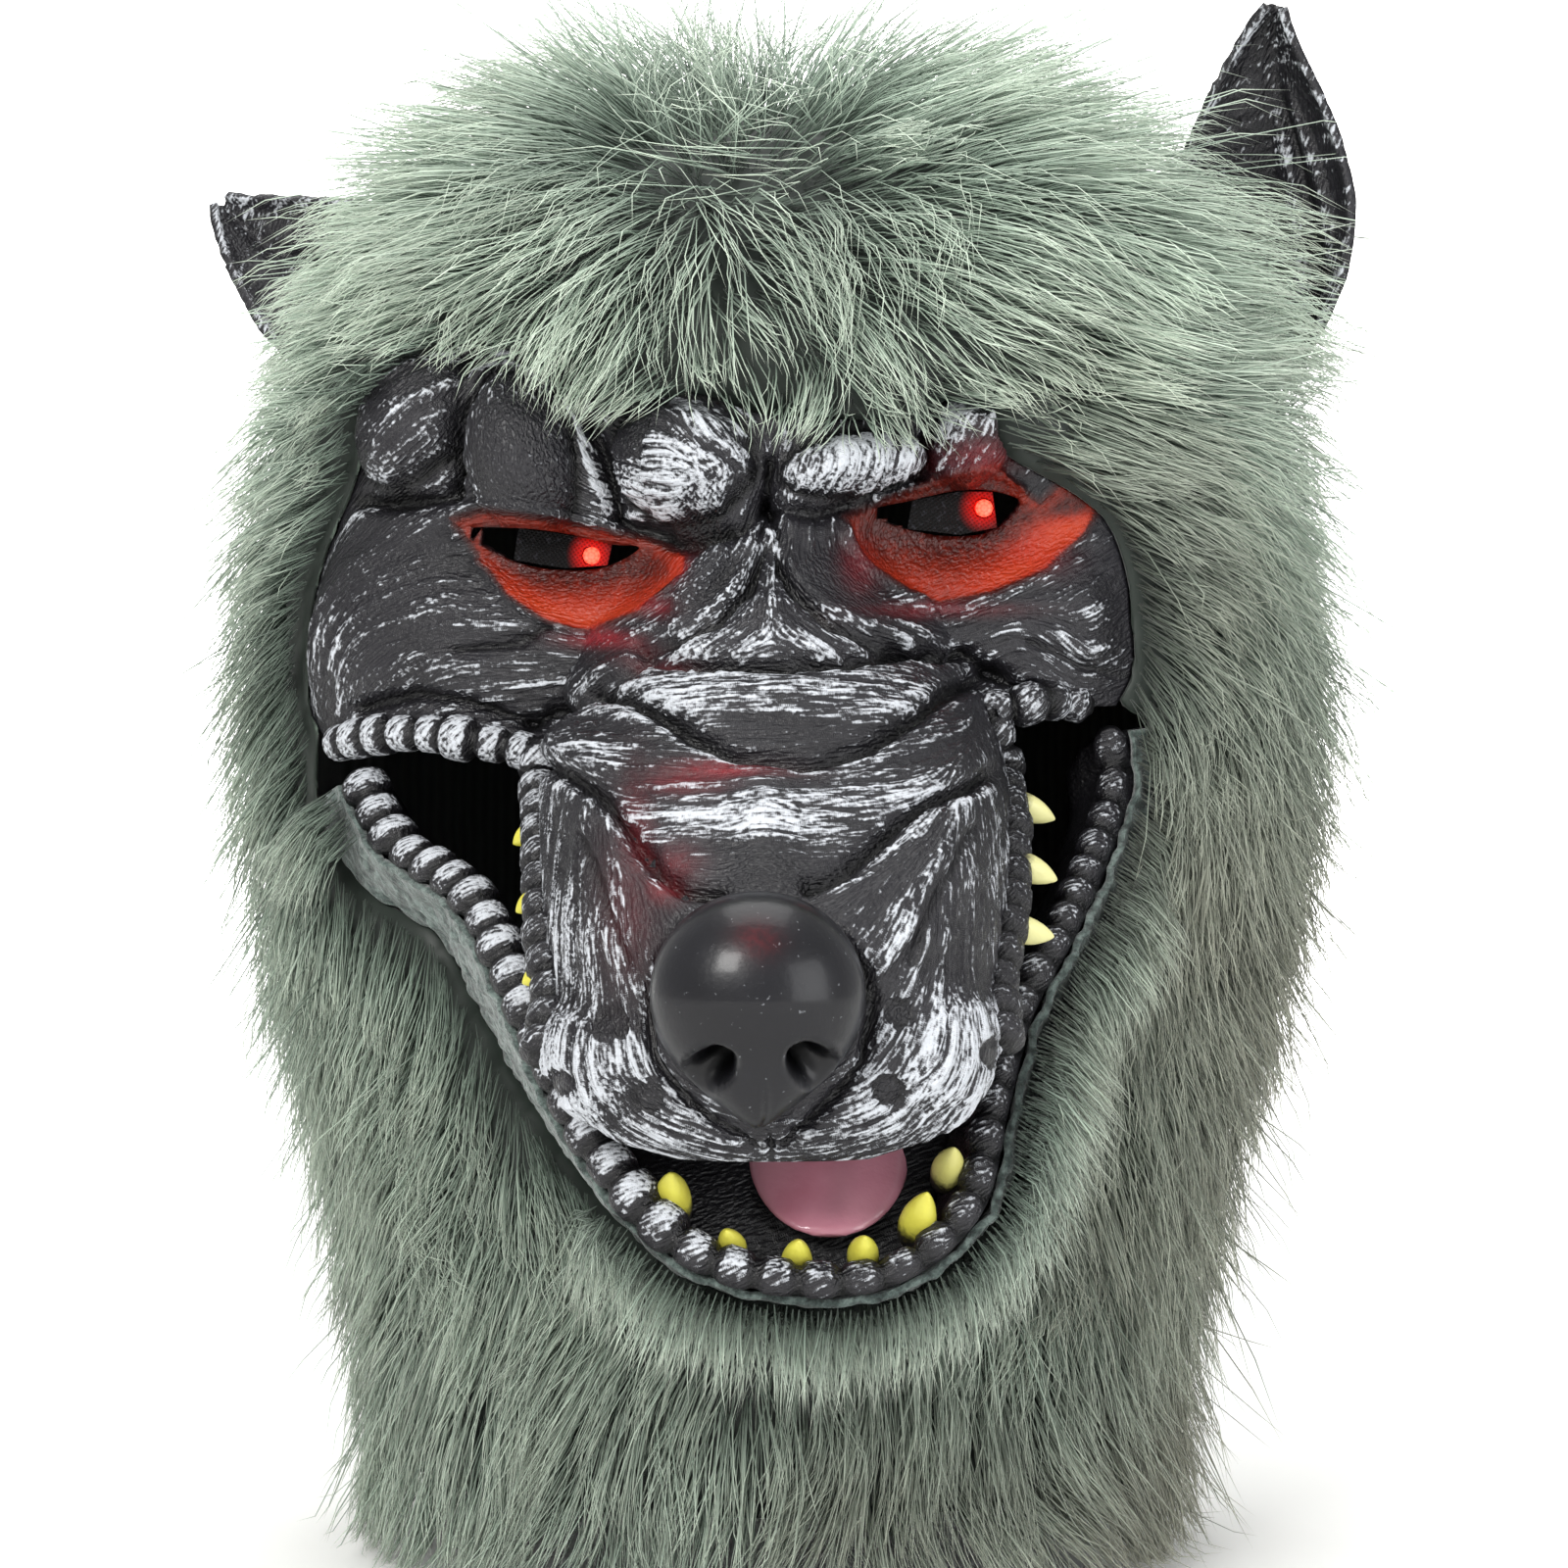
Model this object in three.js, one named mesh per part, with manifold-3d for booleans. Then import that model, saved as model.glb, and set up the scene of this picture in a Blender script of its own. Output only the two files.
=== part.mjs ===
// Over-the-head wolf mask: a moulded face with a long muzzle, set in a deep-pile fur hood.
// Millimetres, +Z up, the face looks along -Y. The origin is on the inside of the crown, where the
// wearer's head carries the mask. Left and right are as seen by someone who faces the mask.
import * as THREE from 'three';
import { mergeVertices } from 'three/addons/utils/BufferGeometryUtils.js';
import Module from 'manifold-3d';

const wasm = await Module();
wasm.setup();

// Clearances and walls
const pieceGap = 0.35;
const clothWall = 2;
const openingDepth = 12;
const faceWall = 2.4;
const plushWall = 2;
const furPad = 11;
const furEdge = 3.5;

// Hood, measured on the inside of its cloth
const hoodHalfWidth = 134;
const hoodFront = 106;
const hoodBack = 114;
const hoodDrop = 380;
const hoodSquareness = 2.3;

// Face and muzzle
const faceHalfWidth = 130;
const faceDrop = 264;
const muzzleReach = 116;
const muzzleHalfWidth = 62;
const muzzleLean = 1.5;
const leanFrom = 0.45;
const leanRun = 0.25;
const browSwell = 19;
const grooveDepth = 4.5;
const grooveWidth = 4;

// Mouth, lips and teeth
const jawHalfWidth = 112;
const jawDrop = 296;
const jawReach = 82;
const jawFlare = 11;
const jawPitch = 44.6;
const mouthMiddle = 0.62;
const lipRadius = 4.6;
const beadPitch = 12;
const beadDepth = 0.8;
const gumDepth = 15;
const tongueWidth = 42;
const tongueLength = 74;
const tongueThickness = 9;
const toothHeight = 11;
const toothRadius = 4;

// Nose
const noseHalfWidth = 26;
const noseOut = -2.5;
const noseHalfHeight = 25;
const noseHalfDepth = 21;
const noseDrop = 221;
const nostrilRadius = 4.2;

// Eyes
const screenWall = 1.2;
const ledRadius = 2.5;
const ledLength = 7;

// Ears
const earHeight = 84;
const earHalfWidth = 27;
const earCup = 16;
const earBack = 6;
const earWall = 2.6;

// Fur locks
const furPile = 34;
const locksRound = 20;

// Hood sections from crown to hem: drop is a share of hoodDrop, wide of hoodHalfWidth, deep of
// hoodFront and hoodBack
const hoodSections = [
  { drop: 0.000, wide: 0.00, deep: 0.00 },
  { drop: 0.006, wide: 0.24, deep: 0.26 },
  { drop: 0.028, wide: 0.48, deep: 0.52 },
  { drop: 0.072, wide: 0.68, deep: 0.74 },
  { drop: 0.140, wide: 0.83, deep: 0.90 },
  { drop: 0.225, wide: 0.93, deep: 0.98 },
  { drop: 0.320, wide: 0.99, deep: 1.00 },
  { drop: 0.430, wide: 1.00, deep: 1.00 },
  { drop: 0.550, wide: 0.96, deep: 0.96 },
  { drop: 0.680, wide: 0.88, deep: 0.90 },
  { drop: 0.800, wide: 0.80, deep: 0.84 },
  { drop: 0.900, wide: 0.77, deep: 0.82 },
  { drop: 1.000, wide: 0.76, deep: 0.82 },
];

// Edges of the moulded face above the lips: drop is a share of faceDrop, the rest of faceHalfWidth
const leftEdge = [
  { drop: 0.225, out: 0.62 }, { drop: 0.25, out: 0.74 }, { drop: 0.31, out: 0.84 },
  { drop: 0.38, out: 0.88 }, { drop: 0.43, out: 0.93 }, { drop: 0.50, out: 0.975 },
  { drop: 0.575, out: 0.995 }, { drop: 0.615, out: 0.985 }, { drop: 0.645, out: 0.94 },
];
const rightEdge = [
  { drop: 0.225, out: 0.42 }, { drop: 0.28, out: 0.45 }, { drop: 0.33, out: 0.53 },
  { drop: 0.37, out: 0.62 }, { drop: 0.42, out: 0.71 }, { drop: 0.49, out: 0.75 },
  { drop: 0.56, out: 0.76 }, { drop: 0.60, out: 0.72 },
];
// How far the top edge dips below its corner: out is a signed share of faceHalfWidth, dip of faceDrop
const topDip = [
  { out: -0.62, dip: 0.00 }, { out: -0.45, dip: 0.03 }, { out: -0.30, dip: 0.075 },
  { out: -0.18, dip: 0.055 }, { out: 0.00, dip: 0.08 }, { out: 0.25, dip: 0.085 },
  { out: 0.38, dip: 0.06 },
];
const topDipFade = 0.20;

// Muzzle sections: drop is a share of faceDrop, reach and lip of muzzleReach, wide of
// muzzleHalfWidth. Round runs from 1, a soft swelling, to 0, a box with upright sides.
const muzzleSections = [
  { drop: 0.22, reach: 0.05, wide: 0.40, round: 1.0, lip: 0 },
  { drop: 0.40, reach: 0.11, wide: 0.48, round: 1.0, lip: 0 },
  { drop: 0.47, reach: 0.18, wide: 0.62, round: 0.8, lip: 0 },
  { drop: 0.53, reach: 0.30, wide: 0.78, round: 0.5, lip: 0 },
  { drop: 0.59, reach: 0.43, wide: 0.90, round: 0.2, lip: 0 },
  { drop: 0.65, reach: 0.58, wide: 0.97, round: 0.0, lip: 0.0 },
  { drop: 0.70, reach: 0.73, wide: 1.00, round: 0.0, lip: 0.16 },
  { drop: 0.75, reach: 0.87, wide: 1.00, round: 0.0, lip: 0.32 },
  { drop: 0.80, reach: 0.94, wide: 1.00, round: 0.0, lip: 0.46 },
  { drop: 0.86, reach: 0.96, wide: 1.00, round: 0.0, lip: 0.61 },
  { drop: 0.92, reach: 1.00, wide: 1.05, round: 0.0, lip: 0.76 },
  { drop: 0.96, reach: 1.00, wide: 1.07, round: 0.0, lip: 0.86 },
  { drop: 0.98, reach: 0.98, wide: 1.04, round: 0.0, lip: 0.90 },
  { drop: 1.00, reach: 0.94, wide: 0.84, round: 0.0, lip: 0.91 },
];

// Swellings and hollows: out and wide are shares of faceHalfWidth, drop and tall of faceDrop,
// swell of browSwell
const swellings = [
  { name: 'left brow roll', out: -0.70, drop: 0.31, wide: 0.14, tall: 0.075, swell: 0.80 },
  { name: 'left brow cone', out: -0.46, drop: 0.335, wide: 0.10, tall: 0.085, swell: 0.90 },
  { name: 'left brow ball', out: -0.18, drop: 0.36, wide: 0.16, tall: 0.080, swell: 1.00 },
  { name: 'right brow ridge', out: 0.26, drop: 0.345, wide: 0.20, tall: 0.050, swell: 0.75 },
  { name: 'right brow fold', out: 0.45, drop: 0.335, wide: 0.10, tall: 0.065, swell: 0.75 },
  { name: 'left eye hollow', out: -0.44, drop: 0.445, wide: 0.24, tall: 0.050, swell: -0.60 },
  { name: 'right eye hollow', out: 0.42, drop: 0.420, wide: 0.20, tall: 0.050, swell: -0.60 },
  { name: 'left pouch', out: -0.40, drop: 0.515, wide: 0.24, tall: 0.032, swell: 0.30 },
  { name: 'right pouch', out: 0.47, drop: 0.485, wide: 0.20, tall: 0.032, swell: 0.30 },
  { name: 'left cheek', out: -0.76, drop: 0.53, wide: 0.20, tall: 0.100, swell: 0.45 },
  { name: 'right cheek', out: 0.64, drop: 0.52, wide: 0.12, tall: 0.075, swell: 0.30 },
  { name: 'crease between the eyes', out: 0.0, drop: 0.395, wide: 0.06, tall: 0.05, swell: -0.35 },
];

// Wrinkles over the muzzle, as runs of points: out is a share of faceHalfWidth, drop of faceDrop
const wrinkles = [
  [{ out: -0.29, drop: 0.532 }, { out: 0.0, drop: 0.540 }, { out: 0.33, drop: 0.535 }],
  [{ out: -0.20, drop: 0.590 }, { out: 0.0, drop: 0.640 }, { out: 0.16, drop: 0.630 },
    { out: 0.34, drop: 0.585 }],
  [{ out: -0.38, drop: 0.650 }, { out: -0.26, drop: 0.715 }, { out: -0.10, drop: 0.745 }],
  [{ out: 0.40, drop: 0.655 }, { out: 0.28, drop: 0.700 }, { out: 0.10, drop: 0.745 }],
];

// Eye slits, as round outlines: shares of faceHalfWidth and faceDrop
const eyeSlits = [
  {
    side: 'left', ledOut: -0.365, ledDrop: 0.446,
    upper: [{ out: -0.635, drop: 0.421 }, { out: -0.52, drop: 0.418 }, { out: -0.42, drop: 0.423 },
      { out: -0.32, drop: 0.434 }, { out: -0.265, drop: 0.437 }],
    lower: [{ out: -0.635, drop: 0.421 }, { out: -0.53, drop: 0.451 }, { out: -0.42, drop: 0.460 },
      { out: -0.33, drop: 0.456 }, { out: -0.265, drop: 0.437 }],
  },
  {
    side: 'right', ledOut: 0.44, ledDrop: 0.398,
    upper: [{ out: 0.20, drop: 0.402 }, { out: 0.29, drop: 0.390 }, { out: 0.39, drop: 0.380 },
      { out: 0.46, drop: 0.381 }, { out: 0.515, drop: 0.392 }],
    lower: [{ out: 0.20, drop: 0.402 }, { out: 0.28, drop: 0.419 }, { out: 0.39, drop: 0.426 },
      { out: 0.47, drop: 0.418 }, { out: 0.515, drop: 0.392 }],
  },
];

// Lower lip from the left mouth corner round the chin: out is a signed share of jawHalfWidth,
// drop of jawDrop, reach of jawReach
const lowerLip = [
  { out: -1.00, drop: 0.606, reach: -0.50 }, { out: -0.90, drop: 0.658, reach: -0.25 },
  { out: -0.70, drop: 0.700, reach: 0.12 }, { out: -0.57, drop: 0.775, reach: 0.44 },
  { out: -0.46, drop: 0.850, reach: 0.67 }, { out: -0.34, drop: 0.915, reach: 0.86 },
  { out: -0.17, drop: 0.976, reach: 0.97 }, { out: 0.05, drop: 1.000, reach: 1.00 },
  { out: 0.28, drop: 0.993, reach: 0.97 }, { out: 0.44, drop: 0.945, reach: 0.87 },
  { out: 0.50, drop: 0.870, reach: 0.70 }, { out: 0.57, drop: 0.790, reach: 0.45 },
  { out: 0.68, drop: 0.725, reach: 0.22 }, { out: 0.77, drop: 0.665, reach: -0.10 },
  { out: 0.83, drop: 0.607, reach: -0.30 }, { out: 0.82, drop: 0.560, reach: -0.32 },
];

// Teeth: along is a share of the lip they stand behind, from its left end, size of toothHeight
const lowerTeeth = [
  { name: 'tooth_lower_1', along: 0.415, size: 1.10 }, { name: 'tooth_lower_2', along: 0.465, size: 0.62 },
  { name: 'tooth_lower_3', along: 0.510, size: 0.75 }, { name: 'tooth_lower_4', along: 0.555, size: 0.75 },
  { name: 'tooth_lower_5', along: 0.603, size: 1.20 }, { name: 'tooth_lower_6', along: 0.650, size: 0.85 },
];
const upperTeeth = [
  { name: 'tooth_upper_left_1', side: -1, drop: 0.715, size: 0.85 },
  { name: 'tooth_upper_left_2', side: -1, drop: 0.775, size: 0.75 },
  { name: 'tooth_upper_left_3', side: -1, drop: 0.840, size: 0.75 },
  { name: 'tooth_upper_right_1', side: 1, drop: 0.690, size: 1.15 },
  { name: 'tooth_upper_right_2', side: 1, drop: 0.745, size: 1.15 },
  { name: 'tooth_upper_right_3', side: 1, drop: 0.800, size: 1.10 },
];

// Ears: out is a signed share of hoodHalfWidth, drop of hoodDrop, angles in degrees
const ears = [
  { name: 'ear_left', out: -0.80, drop: 0.142, tilt: -54, turn: 20, lean: -38 },
  { name: 'ear_right', out: 1.01, drop: 0.130, tilt: 7, turn: -24, lean: 4 },
];
// Ear sections from root to tip: along is a share of earHeight, wide of earHalfWidth, cup of
// earCup, sway of earHalfWidth
const earSections = [
  { along: -0.16, wide: 0.66, cup: 0.90, sway: 0.00 }, { along: 0.02, wide: 0.90, cup: 1.00, sway: 0.00 },
  { along: 0.18, wide: 1.00, cup: 1.00, sway: 0.02 }, { along: 0.36, wide: 0.97, cup: 0.92, sway: 0.04 },
  { along: 0.54, wide: 0.80, cup: 0.78, sway: 0.02 }, { along: 0.70, wide: 0.58, cup: 0.60, sway: -0.04 },
  { along: 0.84, wide: 0.34, cup: 0.42, sway: -0.10 }, { along: 0.94, wide: 0.16, cup: 0.24, sway: -0.12 },
  { along: 1.00, wide: 0.05, cup: 0.08, sway: -0.10 },
];

// Tiers of fur locks from crown to hem: root, tip and valley are shares of hoodDrop, pile of furPile
const furTiers = [
  { root: 0.004, valley: 0.022, tip: 0.048, pile: 1.10 },
  { root: 0.030, valley: 0.075, tip: 0.128, pile: 1.18 },
  { root: 0.090, valley: 0.150, tip: 0.228, pile: 1.16 },
  { root: 0.180, valley: 0.255, tip: 0.345, pile: 1.08 },
  { root: 0.290, valley: 0.370, tip: 0.465, pile: 1.02 },
  { root: 0.405, valley: 0.490, tip: 0.590, pile: 0.98 },
  { root: 0.530, valley: 0.620, tip: 0.725, pile: 0.98 },
  { root: 0.660, valley: 0.755, tip: 0.865, pile: 1.00 },
  { root: 0.800, valley: 0.985, tip: 1.045, pile: 0.98 },
];

const lerp = (a, b, t) => a + (b - a) * t;
const clamp01 = (t) => Math.min(1, Math.max(0, t));
const smooth = (t) => clamp01(t) ** 2 * (3 - 2 * clamp01(t));

// Reads a column of a table at a place along its key column
function column(table, key, name, at) {
  let i = 0;
  while (i < table.length - 2 && at > table[i + 1][key]) i += 1;
  const from = table[i];
  const to = table[i + 1];
  return lerp(from[name], to[name], clamp01((at - from[key]) / (to[key] - from[key])));
}

// Solids from point lists, joined and cut as manifolds
function solidFromMesh(points, faces) {
  const build = (tris) => new wasm.Manifold(new wasm.Mesh({
    numProp: 3,
    vertProperties: new Float32Array(points.flatMap((p) => [p.x, p.y, p.z])),
    triVerts: new Uint32Array(tris.flat()),
  }));
  const solid = build(faces);
  return solid.volume() > 0 ? solid : build(faces.map(([a, b, c]) => [a, c, b]));
}

function solidFromGeometry(geometry) {
  const bare = geometry.clone();
  bare.deleteAttribute('normal');
  bare.deleteAttribute('uv');
  const merged = mergeVertices(bare, 1e-4);
  const at = merged.getAttribute('position');
  const points = [];
  for (let i = 0; i < at.count; i += 1) points.push(new THREE.Vector3().fromBufferAttribute(at, i));
  const faces = [];
  for (let i = 0; i < merged.index.count; i += 3) {
    const tri = [0, 1, 2].map((k) => merged.index.getX(i + k));
    if (new Set(tri).size === 3) faces.push(tri);
  }
  return solidFromMesh(points, faces);
}

// A closed solid through rings of equal count, from a cap or a point to a cap or a point
function loft(rings) {
  const points = [];
  const faces = [];
  const starts = rings.map((ring) => {
    const start = points.length;
    points.push(...ring);
    return start;
  });
  for (let k = 0; k < rings.length - 1; k += 1) {
    const n = Math.max(rings[k].length, rings[k + 1].length);
    for (let i = 0; i < n; i += 1) {
      const j = (i + 1) % n;
      const [a, b] = [starts[k], starts[k + 1]];
      if (rings[k].length === 1) faces.push([a, b + j, b + i]);
      else if (rings[k + 1].length === 1) faces.push([a + i, a + j, b]);
      else faces.push([a + i, a + j, b + j], [a + i, b + j, b + i]);
    }
  }
  for (const [k, flip] of [[0, true], [rings.length - 1, false]]) {
    const ring = rings[k];
    if (ring.length === 1) continue;
    const middle = points.length;
    points.push(ring.reduce((sum, p) => sum.add(p), new THREE.Vector3()).divideScalar(ring.length));
    ring.forEach((p, i) => {
      const j = (i + 1) % ring.length;
      const tri = [starts[k] + i, starts[k] + j, middle];
      faces.push(flip ? [tri[1], tri[0], tri[2]] : tri);
    });
  }
  return solidFromMesh(points, faces);
}

// Outward normals of a grid of points
function gridNormals(grid, flip) {
  return grid.map((row, i) => row.map((p, j) => {
    const down = grid[Math.min(i + 1, grid.length - 1)][j].clone().sub(grid[Math.max(i - 1, 0)][j]);
    const across = row[Math.min(j + 1, row.length - 1)].clone().sub(row[Math.max(j - 1, 0)]);
    return across.cross(down).normalize().multiplyScalar(flip);
  }));
}

// A moulded or sewn wall: the grid is its outer face and wall its thickness. Cells that keep turns
// down are left open.
function sheet(grid, wall, flip = 1, keep = () => true) {
  const normals = gridNormals(grid, flip);
  const cols = grid[0].length;
  const points = [];
  for (const depth of [0, -wall]) {
    grid.forEach((row, i) => row.forEach((p, j) => {
      points.push(p.clone().addScaledVector(normals[i][j], depth));
    }));
  }
  const under = grid.length * cols;
  const tris = [];
  for (let i = 0; i < grid.length - 1; i += 1) {
    for (let j = 0; j < cols - 1; j += 1) {
      if (!keep(i, j)) continue;
      const [a, b, c, d] = [i * cols + j, (i + 1) * cols + j, (i + 1) * cols + j + 1, i * cols + j + 1];
      tris.push([a, b, c], [a, c, d]);
    }
  }
  const edges = new Set(tris.flatMap(([a, b, c]) => [`${a} ${b}`, `${b} ${c}`, `${c} ${a}`]));
  const faces = [...tris, ...tris.map(([a, b, c]) => [a + under, c + under, b + under])];
  for (const edge of edges) {
    const [a, b] = edge.split(' ').map(Number);
    if (!edges.has(`${b} ${a}`)) faces.push([b, a, a + under], [b, a + under, b + under]);
  }
  const used = new Map();
  const kept = faces.map((tri) => tri.map((k) => {
    if (!used.has(k)) used.set(k, used.size);
    return used.get(k);
  }));
  return solidFromMesh([...used.keys()].map((k) => points[k]), kept);
}

// The outer body of a join, without the small voids that it traps
function outerBody(solid) {
  return solid.decompose().sort((a, b) => b.volume() - a.volume())[0];
}

// Hood surface at a drop below the crown, pushed out by grow along its profile
const hoodSteps = 24;
function hoodSection(drop, grow) {
  const step = 0.01;
  const share = drop / hoodDrop;
  const wide = column(hoodSections, 'drop', 'wide', share) * hoodHalfWidth;
  const near = column(hoodSections, 'drop', 'wide', Math.max(0, share - step)) * hoodHalfWidth;
  const far = column(hoodSections, 'drop', 'wide', Math.min(1, share + step)) * hoodHalfWidth;
  const slope = new THREE.Vector2(2 * step * hoodDrop, far - near).normalize();
  const deep = column(hoodSections, 'drop', 'deep', share);
  return {
    half: wide + slope.x * grow,
    front: deep * hoodFront + slope.x * grow,
    back: deep * hoodBack + slope.x * grow,
    z: -drop + slope.y * grow,
  };
}

function hoodPoint(section, angle) {
  const bend = (v) => Math.sign(v) * Math.abs(v) ** (2 / hoodSquareness);
  const y = bend(Math.sin(angle));
  return new THREE.Vector3(section.half * bend(Math.cos(angle)), y * (y < 0 ? section.front : section.back),
    section.z);
}

// The hood as a full body, run down past the hem by extra
function hoodBody(grow, extra = 0) {
  const rings = hoodSections.map(({ drop }) => {
    const section = hoodSection(drop * hoodDrop, grow);
    if (drop === 0) return [new THREE.Vector3(0, 0, grow)];
    const ring = [];
    for (let i = 0; i < hoodSteps; i += 1) ring.push(hoodPoint(section, i / hoodSteps * 2 * Math.PI));
    return ring;
  });
  if (extra) rings.push(rings.at(-1).map((p) => p.clone().setZ(p.z - extra)));
  return loft(rings);
}

// Depth of the hood's outer cloth at a point of the front view
function hoodFrontAt(x, z) {
  const section = hoodSection(Math.min(hoodDrop, Math.max(2, -z)), clothWall);
  const side = Math.min(0.999, Math.abs(x) / section.half);
  return -section.front * (1 - side ** hoodSquareness) ** (1 / hoodSquareness);
}

// Moulded face
const faceRowDrops = [0.225, 0.265, 0.305, 0.345, 0.385, 0.425, 0.465, 0.505, 0.54, 0.57, 0.60,
  0.622, 0.645, 0.675, 0.71, 0.75, 0.80, 0.85, 0.905, 0.95, 0.98, 1.0];
const leftColumns = 8;
const muzzleColumns = 16;
const rightColumns = 5;
const leftCorner = faceRowDrops.indexOf(0.645);
const rightCorner = faceRowDrops.indexOf(0.60);
const bridgeShare = 0.85;

function muzzleShape(share, side) {
  const round = column(muzzleSections, 'drop', 'round', share);
  const power = lerp(3, 2, round);
  return (1 - side ** power) ** lerp(1 / 3, 1.5, round);
}

// The muzzle leans to one side below the eyes
function muzzleCentre(share) {
  return muzzleLean * smooth((share - leanFrom) / leanRun);
}

function muzzleSideAt(share) {
  const reach = column(muzzleSections, 'drop', 'reach', share);
  const lip = column(muzzleSections, 'drop', 'lip', share);
  return (1 - clamp01(lip / reach) ** 3) ** (1 / 3);
}

function faceBase(x, z) {
  const share = -z / faceDrop;
  const wide = column(muzzleSections, 'drop', 'wide', share) * muzzleHalfWidth;
  const reach = column(muzzleSections, 'drop', 'reach', share) * muzzleReach;
  const centre = muzzleCentre(share);
  const side = Math.min(1, Math.abs(x - centre) / wide);
  return new THREE.Vector3(x, hoodFrontAt(x, z) - reach * muzzleShape(share, side), z);
}

function topDipAt(x, share) {
  const dip = column(topDip, 'out', 'dip', x / faceHalfWidth);
  return dip * faceDrop * (1 - smooth((share - faceRowDrops[0]) / topDipFade));
}

// One row of the face: the left cheek, the muzzle and the right cheek, each spread evenly
function faceRow(share) {
  const wide = column(muzzleSections, 'drop', 'wide', share) * muzzleHalfWidth;
  const centre = muzzleCentre(share);
  const fold = Math.max(share < leftEdge.at(-1).drop ? bridgeShare * muzzleHalfWidth : 0,
    wide * muzzleSideAt(share));
  const left = -column(leftEdge, 'drop', 'out', share) * faceHalfWidth;
  const right = column(rightEdge, 'drop', 'out', share) * faceHalfWidth;
  const seams = [Math.min(left, centre - fold), centre - fold, centre + fold, Math.max(right, centre + fold)];
  const counts = [leftColumns, muzzleColumns, rightColumns];
  const row = [];
  counts.forEach((count, k) => {
    const trail = [];
    const fine = 120;
    for (let i = 0; i <= fine; i += 1) {
      const t = (1 - Math.cos(i / fine * Math.PI)) / 2;
      const x = lerp(seams[k], seams[k + 1], lerp(t, i / fine, 0.3));
      trail.push(faceBase(x, -share * faceDrop - topDipAt(x, share)));
    }
    row.push(...evenly(trail, count + 1).slice(k ? 1 : 0));
  });
  return row;
}

// Cells of the face grid that are face: the cheeks end at the mouth corners
function onFace(i, j) {
  if (j < leftColumns) return i < leftCorner;
  if (j >= leftColumns + muzzleColumns) return i < rightCorner;
  return true;
}

// Resamples a run of points to even steps along its length
function evenly(trail, count) {
  const runs = [0];
  for (let i = 1; i < trail.length; i += 1) runs.push(runs[i - 1] + trail[i].distanceTo(trail[i - 1]));
  const total = runs.at(-1);
  const points = [];
  let k = 0;
  for (let i = 0; i < count; i += 1) {
    const at = total * i / (count - 1);
    while (k < runs.length - 2 && runs[k + 1] < at) k += 1;
    const t = (at - runs[k]) / Math.max(1e-9, runs[k + 1] - runs[k]);
    points.push(trail[k].clone().lerp(trail[k + 1], clamp01(t)));
  }
  return points;
}

function distanceToRun(run, x, z) {
  let best = Infinity;
  for (let i = 0; i < run.length - 1; i += 1) {
    const a = new THREE.Vector2(run[i].out * faceHalfWidth, -run[i].drop * faceDrop);
    const b = new THREE.Vector2(run[i + 1].out * faceHalfWidth, -run[i + 1].drop * faceDrop);
    const p = new THREE.Vector2(x, z);
    const t = clamp01(p.clone().sub(a).dot(b.clone().sub(a)) / b.clone().sub(a).lengthSq());
    best = Math.min(best, p.distanceTo(a.lerp(b, t)));
  }
  return best;
}

// Relief of the face at a point of the front view, along the outward normal
function relief(x, z) {
  let height = 0;
  for (const s of swellings) {
    const u = (x - s.out * faceHalfWidth) / (s.wide * faceHalfWidth);
    const v = (-z - s.drop * faceDrop) / (s.tall * faceDrop);
    height += s.swell * browSwell * Math.exp(-(u * u + v * v) * 0.9);
  }
  for (const run of wrinkles) {
    height -= grooveDepth * Math.exp(-((distanceToRun(run, x, z) / grooveWidth) ** 2));
  }
  return height;
}

const bareFace = faceRowDrops.map((share) => faceRow(share));
const bareNormals = gridNormals(bareFace, 1);
const facingOut = bareNormals[8][12].y < 0 ? 1 : -1;
const faceGrid = bareFace.map((row, i) => row.map((p, j) => {
  const rim = Math.min(1, Math.min(i, j, row.length - 1 - j) / 2);
  return p.clone().addScaledVector(bareNormals[i][j], facingOut * relief(p.x, p.z) * rim);
}));

// A roll of beads along a run of points, swelling and narrowing once a bead
function beadRoll(trail, radius, sides) {
  const curve = new THREE.CatmullRomCurve3(trail);
  const beads = Math.round(curve.getLength() / beadPitch);
  const rings = [];
  for (let i = 0; i <= beads * 2; i += 1) {
    const t = i / (beads * 2);
    const at = curve.getPointAt(t);
    const along = curve.getTangentAt(t);
    const level = new THREE.Vector3(0, 1, 0).cross(along).normalize();
    const upright = along.clone().cross(level).normalize();
    const swell = i % 2 ? radius : radius - beadDepth;
    const ring = [];
    for (let k = 0; k < sides; k += 1) {
      const angle = k / sides * 2 * Math.PI;
      ring.push(at.clone().addScaledVector(level, swell * Math.cos(angle))
        .addScaledVector(upright, swell * Math.sin(angle)));
    }
    rings.push(ring);
  }
  return loft(rings);
}

// Upper lip: the edge of the face from each mouth corner and down the muzzle's side
function upperLipTrail(side) {
  const corner = side < 0 ? leftCorner : rightCorner;
  const seam = side < 0 ? leftColumns : leftColumns + muzzleColumns;
  const cheek = faceGrid[corner].slice(0, leftColumns);
  if (side > 0) cheek.splice(0, leftColumns, ...faceGrid[corner].slice(seam + 1).reverse());
  const muzzle = faceGrid.filter((row, i) => i >= corner && faceRowDrops[i] < 0.95);
  return [...cheek.filter((p, i) => i % 2 === 0), ...muzzle.map((row) => row[seam])].map((p) => p.clone());
}

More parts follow.
